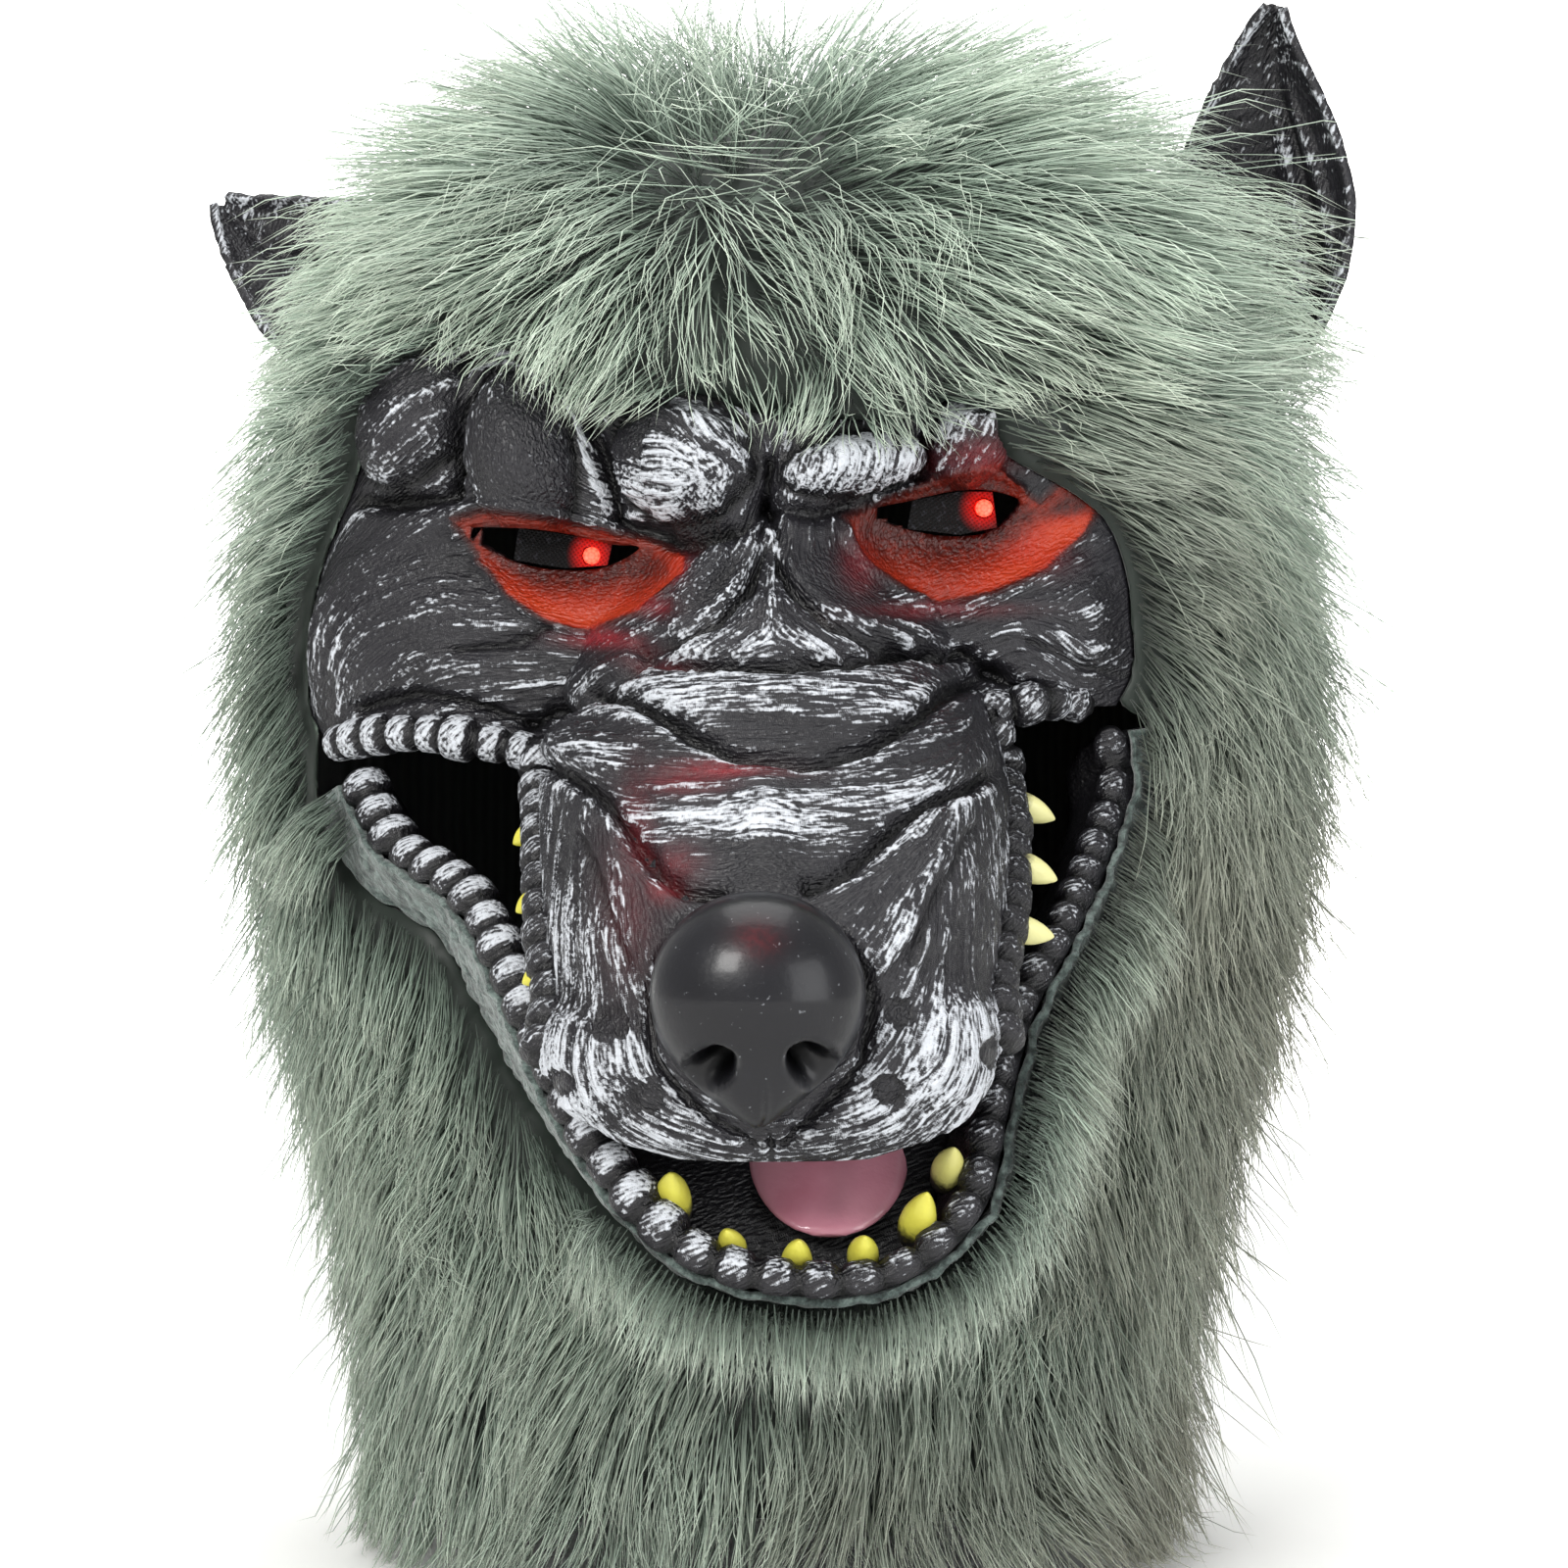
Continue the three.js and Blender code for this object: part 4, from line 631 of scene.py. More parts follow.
def paintAt(x, y, proudness):  # silver, socket red, crimson and painted shade in hollows, at places of the front drawing
    silver = np.full(np.shape(x), 0.22)
    for cx, cy, w, h, strength in paint["silver"]:
        silver = np.maximum(silver, strength * np.exp(-(((x - cx) / w) ** 4 + ((y - cy) / h) ** 4) * .9))
    for strength, width, run in paint["silverRuns"]:
        silver = np.maximum(silver, strength * np.exp(-(runDistance(x, y, run) / width) ** 2))
    for cx, cy, w, h in paint["bare"]:
        silver *= 1 - smoothStep(1.15, .8, np.hypot((x - cx) / w, (y - cy) / h)) * .9
    for cx, cy, r in relief["discs"]:
        silver *= 1 - smoothStep(r + 1, r - 2, np.hypot(x - cx, y - cy)) * .95
    red = np.zeros(np.shape(x))
    for side, eye in eyeShapes.items():
        edge = runDistance(x, y, eye["socket"] + eye["socket"][:1])
        signed = np.where(insideRun(x, y, eye["socket"]), edge, -edge)
        fromSlit = runDistance(x, y, [tuple(p) for p in outlines[side][::14]])
        below = smoothStep(-8, 14, y - outlines[side][:, 1].mean())
        # painted shade: the socket red is darker close to the slit, under the lid, and over the inner part of
        # the right socket
        bright = smoothStep(4, 58, fromSlit) * below + .25 * smoothStep(20, 4, edge)
        bright = np.clip(bright, 0, 1) * np.where(side == "left", .85, .85 - .5 * smoothStep(1060, 960, x))
        red = np.maximum(red, smoothStep(-6, 4, signed) * (.5 + .5 * bright))
    silver *= 1 - np.clip(red * 2, 0, 1) * .85
    crimson = np.zeros(np.shape(x))
    for cx, cy, w, h, strength in paint["crimson"]:
        spot = np.exp(-(((x - cx) / w) ** 2 + ((y - cy) / h) ** 2) * 1.2)
        crimson = np.maximum(crimson, .8 * strength * spot)
    # the last channel is painted shade: it darkens places where the relief lies below its surroundings
    return stackOf(silver, red, crimson, np.clip(-proudness, 0, 1))


# Materials of the moulded parts
coat = {
    "charcoal": "141316", "charcoalLight": "27262b", "creviceShade": "060607", "silver": "d3d8df",
    "silverWarm": "b2b4b9",
    "socket": "9c2a12", "socketShade": "3c0d07", "socketRim": "b23a1b", "crimson": "a3202c",
    "speckleMm": 2.2, "grainMm": .9, "cloudMm": 26, "bristleMm": .9, "bristleStepMm": .55,
    "bristleSamples": 9,
    "strokeLoad": .42, "bristleLoad": .36, "speckleLoad": .75, "grainLoad": .5, "creviceLoad": -.7,
    "loadFrom": 1.15, "loadTo": 1.55,
}


def perMetre(mm):  # texture scale for a feature of a given size
    return 1000 / mm


def mouldedPaint():  # soft PVC moulded in black, dry-brushed in silver: bright on edges, with painted shade that darkens the folds toward black
    material, tree = newMaterial("moulded black PVC, dry-brushed silver")
    place = addNode(tree, "TexCoord")["Object"]
    marks = addNode(tree, "Attribute", {}, {"attribute_name": "marks"})
    stroke = addNode(tree, "Attribute", {}, {"attribute_name": "stroke"})["Fac"]
    flow = addNode(tree, "Attribute", {}, {"attribute_name": "flow"})["Vector"]
    brushed, reddened, stained = addNode(tree, "SeparateColor", {0: marks["Color"]})
    dark = marks["Alpha"]
    speckle = addNode(tree, "TexNoise", {"Vector": place, "Scale": perMetre(coat["speckleMm"]),
                                         "Detail": 3, "Roughness": .65})[0]
    grain = addNode(tree, "TexNoise", {"Vector": place, "Scale": perMetre(coat["grainMm"]), "Detail": 2})[0]
    cloud = addNode(tree, "TexNoise", {"Vector": place, "Scale": perMetre(coat["cloudMm"]), "Detail": 2})[0]
    base = addNode(tree, "Mix", {0: cloud, 6: coat["charcoal"], 7: coat["charcoalLight"]}, blend)[2]
    # painted shade: the last mark darkens hollows and folds toward near black, and also keeps silver out of
    # them
    base = addNode(tree, "Mix", {0: dark, 6: base, 7: coat["creviceShade"]}, blend)[2]
    # fine bristle marks: noise gathered along the stroke direction stored at each vertex
    bristle = 0.0
    count = coat["bristleSamples"]
    for step in range(-(count // 2), count // 2 + 1):
        shift = (step * coat["bristleStepMm"] / 1000,) * 3
        spot = addNode(tree, "VectorMath", {0: flow, 1: shift, 2: place}, timesPlus)[0]
        one = addNode(tree, "TexNoise",
                      {"Vector": spot, "Scale": perMetre(coat["bristleMm"]), "Detail": 1})[0]
        bristle = addNode(tree, "Math", {0: bristle, 1: one}, {"operation": "ADD"})[0]
    bristle = addNode(tree, "MapRange", {"Value": bristle, "From Min": count * .41, "From Max": count * .59,
                                         "To Min": -1})[0]
    # the brush leaves paint where weight, comb stroke, bristle and speckle add up
    load = brushed
    for part, key in ((stroke, "strokeLoad"), (bristle, "bristleLoad"), (speckle, "speckleLoad"),
                      (grain, "grainLoad"), (dark, "creviceLoad")):
        load = addNode(tree, "Math", {0: part, 1: coat[key], 2: load}, timesPlus)[0]
    cover = addNode(tree, "MapRange",
                    {"Value": load, "From Min": coat["loadFrom"], "From Max": coat["loadTo"]})[0]
    silver = addNode(tree, "Mix", {0: grain, 6: coat["silverWarm"], 7: coat["silver"]}, blend)[2]
    color = addNode(tree, "Mix", {0: cover, 6: base, 7: silver}, blend)[2]
    # eye sockets: darker red by the slit as painted shade, brick red at the rim
    tide = addNode(tree, "Math", {0: reddened, 1: .11}, {"operation": "SUBTRACT"})[0]
    tide = addNode(tree, "Math", {0: speckle, 1: .22, 2: tide}, timesPlus)[0]
    stops = [(.5, coat["socketShade"]), (.76, coat["socket"]), (1, coat["socketRim"])]
    socket = addNode(tree, "ValToRGB", {0: tide}, {"stops": stops})[0]
    share = addNode(tree, "Math", {0: reddened, 1: 2}, timesClamped)[0]
    color = addNode(tree, "Mix", {0: share, 6: color, 7: socket}, blend)[2]
    # crimson wash, thinner over the silver
    wash = addNode(tree, "Math", {0: speckle, 1: 1.1, 2: .2}, timesPlus)[0]
    wash = addNode(tree, "Math", {0: stained, 1: wash}, timesClamped)[0]
    thin = addNode(tree, "Math", {0: cover, 1: -.55, 2: 1}, timesPlus)[0]
    wash = addNode(tree, "Math", {0: wash, 1: thin}, times)[0]
    color = addNode(tree, "Mix", {0: wash, 6: color, 7: coat["crimson"]}, blend)[2]
    rough = addNode(tree, "Math", {0: cover, 1: .16, 2: .40}, timesPlus)[0]
    height = addNode(tree, "Math", {0: bristle, 1: .5, 2: speckle}, timesPlus)[0]
    bumpy = addNode(tree, "Bump", {"Strength": .6, "Distance": .0007, "Height": height})[0]
    finishMaterial(tree, {"IOR": 1.5, "Specular IOR Level": .38, "Base Color": color, "Roughness": rough,
                          "Normal": bumpy})
    return material


def noseGloss():  # the same PVC under a gloss coat: deep grey with long soft highlights
    material, tree = newMaterial("glossy lacquered PVC nose")
    place = addNode(tree, "TexCoord")["Object"]
    marks = addNode(tree, "Attribute", {}, {"attribute_name": "marks"})
    hollow, _, stain = addNode(tree, "SeparateColor", {0: marks["Color"]})
    cloud = addNode(tree, "TexNoise", {"Vector": place, "Scale": perMetre(18), "Detail": 3})[0]
    pore = addNode(tree, "TexNoise", {"Vector": place, "Scale": perMetre(1.6), "Detail": 2})[0]
    fleck = addNode(tree, "MapRange", {"Value": pore, "From Min": .70, "From Max": .76})[0]
    fleck = addNode(tree, "Math", {0: fleck, 1: .5}, times)[0]
    hollow = addNode(tree, "Math", {0: hollow, 1: 1.4}, timesClamped)[0]
    stain = addNode(tree, "Math", {0: stain, 1: pore}, timesClamped)[0]
    color = addNode(tree, "Mix", {0: cloud, 6: "0d0d10", 7: "1a1a1f"}, blend)[2]
    # painted shade: the nostril hollows are darkened toward near black
    for share, tint in ((fleck, "8a8d92"), (hollow, "010102"), (stain, coat["crimson"])):
        color = addNode(tree, "Mix", {0: share, 6: color, 7: tint}, blend)[2]
    rough = addNode(tree, "Math", {0: cloud, 1: .14, 2: .28}, timesPlus)[0]
    bumpy = addNode(tree, "Bump", {"Strength": .25, "Distance": .0003, "Height": pore})[0]
    finishMaterial(tree, {"IOR": 1.5, "Specular IOR Level": .26, "Coat Weight": .18, "Coat Roughness": .14,
                          "Base Color": color, "Roughness": rough, "Normal": bumpy})
    return material


def toothPaint():  # PVC teeth brushed with yellow enamel: worn and darker at the root
    material, tree = newMaterial("yellow enamel painted teeth")
    place = addNode(tree, "TexCoord")["Object"]
    marks = addNode(tree, "Attribute", {}, {"attribute_name": "marks"})
    root, pale, _ = addNode(tree, "SeparateColor", {0: marks["Color"]})
    cloud = addNode(tree, "TexNoise", {"Vector": place, "Scale": perMetre(5), "Detail": 3})[0]
    grain = addNode(tree, "TexNoise", {"Vector": place, "Scale": perMetre(1.2), "Detail": 2})[0]
    worn = addNode(tree, "Math", {0: grain, 1: .5, 2: root}, timesPlus)[0]
    worn = addNode(tree, "MapRange", {"Value": worn, "From Min": .75, "From Max": 1.15})[0]
    color = addNode(tree, "Mix", {0: cloud, 6: "b9ae28", 7: "dcd84a"}, blend)[2]
    color = addNode(tree, "Mix", {0: pale, 6: color, 7: "dcd9a0"}, blend)[2]
    color = addNode(tree, "Mix", {0: worn, 6: color, 7: "2a2620"}, blend)[2]
    bumpy = addNode(tree, "Bump", {"Strength": .3, "Distance": .0004, "Height": grain})[0]
    finishMaterial(tree, {"IOR": 1.5, "Roughness": .34, "Base Color": color, "Normal": bumpy})
    return material


def tonguePaint():  # PVC tongue with wet-look lacquer: soft pink, mottled
    material, tree = newMaterial("lacquered pink PVC tongue")
    place = addNode(tree, "TexCoord")["Object"]
    cloud = addNode(tree, "TexNoise", {"Vector": place, "Scale": perMetre(14), "Detail": 3})[0]
    pore = addNode(tree, "TexNoise", {"Vector": place, "Scale": perMetre(1.4), "Detail": 2})[0]
    color = addNode(tree, "Mix", {0: cloud, 6: "b26a7c", 7: "d99cab"}, blend)[2]
    bumpy = addNode(tree, "Bump", {"Strength": .3, "Distance": .0004, "Height": pore})[0]
    finishMaterial(tree, {"IOR": 1.5, "Roughness": .22, "Coat Weight": .4, "Coat Roughness": .1,
                          "Base Color": color, "Normal": bumpy})
    return material


def screenMesh(name, lampPlace):  # woven black polyester mesh: threads 0.9 mm apart, with painted glints and a painted red glow round the lamp
    material, tree = newMaterial(name)
    place = addNode(tree, "TexCoord")["Object"]
    turned = addNode(tree, "Mapping", {"Vector": place, "Rotation": (0, .6, 0)})[0]
    split = addNode(tree, "SeparateXYZ", {0: turned})
    threads = []
    for axis in (0, 2):
        wave = addNode(tree, "Math", {0: split[axis], 1: 2 * math.pi * perMetre(.9)}, times)[0]
        wave = addNode(tree, "Math", {0: wave}, {"operation": "SINE"})[0]
        threads.append(addNode(tree, "Math", {0: wave, 1: .5, 2: .5}, timesPlus)[0])
    weave = addNode(tree, "Math", {0: threads[0], 1: threads[1]}, {"operation": "MAXIMUM"})[0]
    # painted glints: lighter grey flecks on the threads
    glint = addNode(tree, "TexNoise", {"Vector": place, "Scale": perMetre(1.5), "Detail": 3})[0]
    glint = addNode(tree, "MapRange", {"Value": glint, "From Min": .56, "From Max": .72})[0]
    glint = addNode(tree, "Math", {0: glint, 1: weave}, timesClamped)[0]
    color = addNode(tree, "Mix", {0: glint, 6: "040405", 7: "2e2e34"}, blend)[2]
    # painted glow: the screen itself emits red round the lamp, as if lit by it
    away = addNode(tree, "VectorMath", {0: place, 1: lampPlace}, {"operation": "DISTANCE"})["Value"]
    halo = addNode(tree, "MapRange", {"Value": away, "From Min": .0075, "From Max": .0012},
                   {"interpolation_type": "SMOOTHSTEP"})[0]
    glow = addNode(tree, "Math", {0: weave, 1: .7, 2: .35}, timesPlus)[0]
    glow = addNode(tree, "Math", {0: halo, 1: glow}, times)[0]
    glow = addNode(tree, "Math", {0: glow, 1: .9}, times)[0]
    bumpy = addNode(tree, "Bump", {"Strength": .8, "Distance": .0004, "Height": weave})[0]
    finishMaterial(tree, {"Roughness": .62, "IOR": 1.5, "Specular IOR Level": .2, "Emission Color": "ff1408",
                          "Base Color": color, "Normal": bumpy, "Emission Strength": glow})
    return material


def lampLens(name, lampPlace):  # 5 mm red lamp, cast in clear epoxy: white-hot middle, saturated red shell
    material, tree = newMaterial(name)
    place = addNode(tree, "TexCoord")["Object"]
    away = addNode(tree, "VectorMath", {0: place, 1: lampPlace}, {"operation": "DISTANCE"})["Value"]
    core = addNode(tree, "MapRange", {"Value": away, "From Min": .0026, "From Max": .0006},
                   {"interpolation_type": "SMOOTHSTEP"})[0]
    color = addNode(tree, "Mix", {0: core, 6: "ff1206", 7: "ffc9a0"}, blend)[2]
    glow = addNode(tree, "Math", {0: core, 1: 16, 2: 1.2}, timesPlus)[0]
    finishMaterial(tree, {"Roughness": .12, "IOR": 1.5, "Base Color": "ff2a1c", "Emission Color": color,
                          "Emission Strength": glow})
    return material


def plushPile():  # short knitted plush, 3 mm nap sheared level: soft, speckled with shadow between tufts
    material, tree = newMaterial("sheared knitted plush")
    place = addNode(tree, "TexCoord")["Object"]
    tuft = addNode(tree, "TexNoise", {"Vector": place, "Scale": perMetre(3), "Detail": 4, "Roughness": .7})[0]
    stops = [(.34, "222b29"), (.48, "44514d"), (.62, "6c7a75")]
    color = addNode(tree, "ValToRGB", {0: tuft}, {"stops": stops})[0]
    bumpy = addNode(tree, "Bump", {"Strength": 1, "Distance": .0012, "Height": tuft})[0]
    finishMaterial(tree, {"Roughness": .92, "Sheen Weight": .35, "Sheen Roughness": .5, "Base Color": color,
                          "Normal": bumpy})
    return material


def knitBacking():  # warp-knitted polyester backing of the fur: fine ribs 1.6 mm apart, matt
    material, tree = newMaterial("warp-knitted polyester backing")
    place = addNode(tree, "TexCoord")["Object"]
    ribs = {"Vector": place, "Scale": perMetre(1.6) / 6.28, "Distortion": 1.5, "Detail": 2}
    rib = addNode(tree, "TexWave", ribs, {"bands_direction": "X"})[1]
    cloud = addNode(tree, "TexNoise", {"Vector": place, "Scale": perMetre(40), "Detail": 2})[0]
    cloud = addNode(tree, "Math", {0: cloud, 1: .5}, times)[0]
    color = addNode(tree, "Mix", {0: rib, 6: "141817", 7: "232927"}, blend)[2]
    color = addNode(tree, "Mix", {0: cloud, 6: color, 7: "1b201e"}, blend)[2]
    bumpy = addNode(tree, "Bump", {"Strength": .6, "Distance": .0005, "Height": rib})[0]
    finishMaterial(tree, {"Roughness": .9, "Sheen Weight": .2, "Base Color": color, "Normal": bumpy})
    return material


def furFibre(name, gain):  # combed modacrylic pile: dark at the root as painted shade, pale and a little glossy at the tip as painted highlight
    material, tree = newMaterial(name)
    place = addNode(tree, "TexCoord")["Object"]
    marks = addNode(tree, "Attribute", {}, {"attribute_name": "fur"})
    along, tone, browned = addNode(tree, "SeparateColor", {0: marks["Color"]})
    # painted shade and light: the ramp runs from a shadow colour at the root to a highlight colour at the tip
    green = [(0, "2e3831"), (.28, "637266"), (.62, "8e9c8e"), (1, "c0caba")]
    brown = [(0, "3b3b35"), (.35, "636458"), (.7, "858578"), (1, "aaa896")]
    color = addNode(tree, "ValToRGB", {0: along}, {"stops": green})[0]
    warm = addNode(tree, "ValToRGB", {0: along}, {"stops": brown})[0]
    color = addNode(tree, "Mix", {0: browned, 6: color, 7: warm}, blend)[2]
    cloud = addNode(tree, "TexNoise", {"Vector": place, "Scale": perMetre(30), "Detail": 3})[0]
    shade = addNode(tree, "Math", {0: cloud, 1: .5, 2: .72}, timesPlus)[0]
    level = addNode(tree, "Math", {0: tone, 1: .85 * gain, 2: .72 * gain}, timesPlus)[0]
    shade = addNode(tree, "Math", {0: shade, 1: level}, times)[0]
    color = addNode(tree, "HueSaturation", {"Value": shade, "Color": color})[0]
    finishMaterial(tree, {"Roughness": .5, "IOR": 1.5, "Specular IOR Level": .35, "Sheen Weight": .12,
                          "Base Color": color})
    return material


blackPvc = mouldedPaint()
noseCoat = noseGloss()
enamel = toothPaint()
tongueCoat = tonguePaint()
plush = plushPile()
backing = knitBacking()
pileFur = furFibre("combed modacrylic pile", 1.0)
# a darker copy of the pile material: painted shade deep in the pile
shadedUnderFur = furFibre("dense modacrylic underfur in painted shade", .62)
print("materials")

# Eye slits: cells inside are left out and the rim is drawn onto the outline
outlines = {}
for side, eye in eyeShapes.items():
    ring = np.array(eye["upper"] + eye["lower"][1:-1][::-1]) * (face["halfWidth"], -face["drop"])
    ring = np.stack([ring[:, 0], np.zeros(len(ring)), ring[:, 1]], 1)
    ring = curveThrough(np.vstack([ring[-3:], ring, ring[:3]]), 400)
    ring[:, 1] = faceBase(ring[:, 0], ring[:, 2])[:, 1]
    ring = ring[60:340]
    ex, ey = drawnAt(ring)
    outlines[side] = np.stack([ex, ey], 1)
drawnNowX, drawnNowY = drawnAt(form)
hole = np.zeros((rows, cols), bool)
for outline in outlines.values():
    hole |= insideRun(drawnNowX, drawnNowY, [tuple(p) for p in outline[::4]])
groups = np.ones(((rows - 1) // 2, (cols - 1) // 2), bool)
leftEnd, muzzleEnd = face["columns"][0] // 2, (face["columns"][0] + face["columns"][1]) // 2
leftRow = face["rowDrops"].index(face["leftCorner"]) * face["rowSteps"] // 2
rightRow = face["rowDrops"].index(face["rightCorner"]) * face["rowSteps"] // 2
groups[leftRow:, :leftEnd] = False
groups[rightRow:, muzzleEnd:] = False
slit = hole[1::2, 1::2]
groups &= ~slit
cornerKept = cornersOf(groups)
for i, j in np.argwhere(cornerKept & cornersOf(slit)):
    here = np.array([drawnNowX[i, j], drawnNowY[i, j]])
    near = min(outlines.values(), key=lambda o: np.min(np.linalg.norm(o - here, axis=1)))
    shift = near[np.argmin(np.linalg.norm(near - here, axis=1))] - here
    form[i, j, 0] += shift[0] * view["unit"]
    form[i, j, 2] -= shift[1] * view["unit"]
shellPoints, shellFaces = wallFromGrid(form, face["wall"], groups, formNormals)
marksGrid = paintAt(drawX, drawY, proud)
marksGrid[..., 0] += .25 * np.clip(proud, 0, 1) * (1 - plain)
shellMarks = wallMarks(marksGrid)
rough = 1 - plain * .8
shellStroke = wallMarks(stackOf(strokes * rough, 0, 0, 0))[:, 0]
shellFlow = wallMarks(strokeFlow * rough[..., None])


# Rolls of beads along the lips
bead = {"radius": 5.7, "pitch": 9.2, "depth": .30, "sides": 18, "perBead": 9, "uneven": .12}


def beadRoll(path, radius, silver):
    length = np.linalg.norm(np.diff(path, axis=0), axis=1).sum()
    beads = max(2, round(length / bead["pitch"]))
    count = beads * bead["perBead"] + 1
    at = curveThrough(path, count)
    along = unit(np.gradient(at, axis=0))
    level = unit(np.cross(np.array([0, 1.0, 0]), along))
    upright = unit(np.cross(along, level))
    phase = np.linspace(0, beads, count) % 1
    gap = np.exp(-(np.minimum(phase, 1 - phase) / .13) ** 2)
    rng = np.random.default_rng(11)
    size = 1 + bead["uneven"] * rng.uniform(-1, 1, beads + 1)[np.linspace(0, beads, count).astype(int)]
    step = np.arange(count)
    ends = smoothStep(0, .7, np.minimum(step, count - 1 - step) / bead["perBead"] * 2)
    turn = np.arange(bead["sides"]) / bead["sides"] * 2 * math.pi
    square = (np.abs(np.cos(turn)) ** 3 + np.abs(np.sin(turn)) ** 3) ** (-1 / 3)
    r = radius * (size * (1 - bead["depth"] * gap) * (.55 + .45 * ends))[:, None] * (.86 + .14 * square)
    rings = (at[:, None] + level[:, None] * (r * np.cos(turn))[..., None]
             + upright[:, None] * (r * np.sin(turn) * 1.1)[..., None])
    points, sets = tube(rings)
    # the last channel is painted shade in the gaps between beads
    mark = stackOf(silver * (1 - gap)[:, None], 0, 0, np.repeat(gap[:, None], bead["sides"], 1))
    return points, sets, np.vstack([mark.reshape(-1, 4), np.zeros((2, 4))])


rollParts, rollMarks = [(shellPoints, shellFaces)], [shellMarks]
lastRow = int(np.searchsorted(rowShares, .945))
for side, row in (("left", leftRow * 2), ("right", rightRow * 2)):
    seam = face["columns"][0] if side == "left" else face["columns"][0] + face["columns"][1]
    cheek = form[row, 4:seam:7] if side == "left" else form[row, seam + 6:cols - 3:7][::-1]
    arch = np.sin(np.linspace(0, math.pi, len(cheek)))
    cheek = cheek + np.outer(arch, [0, -1.5, 4.5 if side == "left" else 2])
    edge = form[row:lastRow:9, seam]
    points, sets, mark = beadRoll(np.vstack([cheek, edge]), bead["radius"], .9 if side == "left" else .6)
    mark[:, 0] *= 1 - .45 * smoothStep(-150, -205, points[:, 2])
    rollParts.append((points, sets))
    rollMarks.append(mark)
points, sets = joined(rollParts)
stroke = np.concatenate([shellStroke, np.zeros(len(points) - len(shellStroke))])
flow = np.vstack([shellFlow, np.tile([.7, 0, .7, 0], (len(points) - len(shellFlow), 1))])
addMesh("moulded_face", points, sets, blackPvc, ["face_shell"],
        {"marks": np.vstack(rollMarks), "stroke": stroke, "flow": flow}, recalc=True)
print("face shell and its beaded lips")

# Lower jaw: gum, beaded lip and the skirt that runs back to the hood
jaw = {
    "halfWidth": 112, "drop": 296, "reach": 82, "flare": 11, "pitch": 44.6, "middle": .62, "gum": 15,
    "lip": 4.6, "stations": 297, "beadPitch": 10.6, "beadDepth": 1.9, "wall": 2.2, "floorWall": 1.6,
    "floorSteps": 33,
    "lipLine": [(-1, .606, -.5), (-.9, .658, -.25), (-.7, .7, .12), (-.57, .775, .44), (-.46, .85, .67),
                (-.34, .915, .86), (-.17, .976, .97), (.05, 1, 1), (.28, .993, .97), (.44, .945, .87),
                (.5, .87, .7), (.57, .79, .45), (.68, .725, .22), (.77, .665, -.1), (.83, .607, -.3),
                (.82, .56, -.32)],
}
slope = math.radians(jaw["pitch"])
jawUp = np.array([0, -math.sin(slope), math.cos(slope)])
jawBack = np.array([0, math.cos(slope), math.sin(slope)])
lipLine = np.array(jaw["lipLine"])
lipPath = np.stack([lipLine[:, 0] * jaw["halfWidth"],
                    -hood["front"] - hood["cloth"] - lipLine[:, 2] * jaw["reach"],
                    -lipLine[:, 1] * jaw["drop"]], 1)
lipAt = curveThrough(lipPath, jaw["stations"])
lipAlong = unit(np.gradient(lipAt, axis=0))
lipOut = unit(np.cross(lipAlong, jawUp))
toward = lipAt[:, 0] * lipOut[:, 0] + (lipAt[:, 2] + jaw["middle"] * jaw["drop"]) * lipOut[:, 2]
lipOut *= np.where(toward < 0, -1, 1)[:, None]
lipFlat = unit(np.stack([-lipAlong[:, 2], lipAlong[:, 0]], 1))
toward = lipAt[:, 0] * lipFlat[:, 0] + (lipAt[:, 2] + jaw["middle"] * jaw["drop"]) * lipFlat[:, 1]
lipFlat *= np.where(toward < 0, -1, 1)[:, None]


def skirtAt(share):  # points of the skirt at one share of its way back, for every station
    start = lipAt + lipOut * jaw["lip"]
    reach = jaw["lip"] + jaw["flare"]
    x, z = lipAt[:, 0] + lipFlat[:, 0] * reach, lipAt[:, 2] + lipFlat[:, 1] * reach
    y = np.maximum(hoodFrontAt(x, z), start[:, 1] + 4)
    return start + (np.stack([x, y, z], 1) - start) * share


lipLength = np.linalg.norm(np.diff(lipAt, axis=0), axis=1).sum()
jawBeads = round(lipLength / jaw["beadPitch"])
phase = np.linspace(0, jawBeads, jaw["stations"]) % 1
gap = np.exp(-(np.minimum(phase, 1 - phase) / .14) ** 2)
rng = np.random.default_rng(4)
leftLip = smoothStep(30, -40, lipAt[:, 0])
size = 1 + .10 * rng.uniform(-1, 1, jawBeads + 1)[np.linspace(0, jawBeads, jaw["stations"]).astype(int)]
r = jaw["lip"] * (1 + .38 * leftLip) * size - jaw["beadDepth"] * gap
section, weights = [], []
for o, n, weight in ((-2.4, -1.0, 0), (-2.15, -.8, 0), (-1.9, -.6, 0), (-1.65, -.36, .05)):
    section.append(lipAt + lipOut * (o * jaw["lip"]) + jawUp * (n * jaw["gum"]))
    weights.append(weight)
for turn in range(200, -1, -20):
    a = math.radians(turn)
    section.append(lipAt + lipOut * (r * math.cos(a))[:, None] + jawUp * (r * math.sin(a) * .95)[:, None])
    weights.append(max(0, math.sin(a)) * .9 + .1)
for share in (.02, .06, .12, .2, .3, .42, .56, .70, .85, 1):
    section.append(skirtAt(share))
    weights.append(.2 if share < .1 else 0)
jawGrid = np.stack(section, 1)
weights = np.array(weights)
jawNormals = gridNormals(jawGrid)
# judged on the outer half of the lip and on the skirt
outward = (jawNormals * lipOut[:, None]).sum(-1)[:, 16:].mean()
jawNormals *= 1 if outward > 0 else -1
jawPoints, jawFaces = wallFromGrid(jawGrid, jaw["wall"], None, jawNormals)
silver = np.outer((1 - gap) * (.55 + .4 * leftLip), weights)
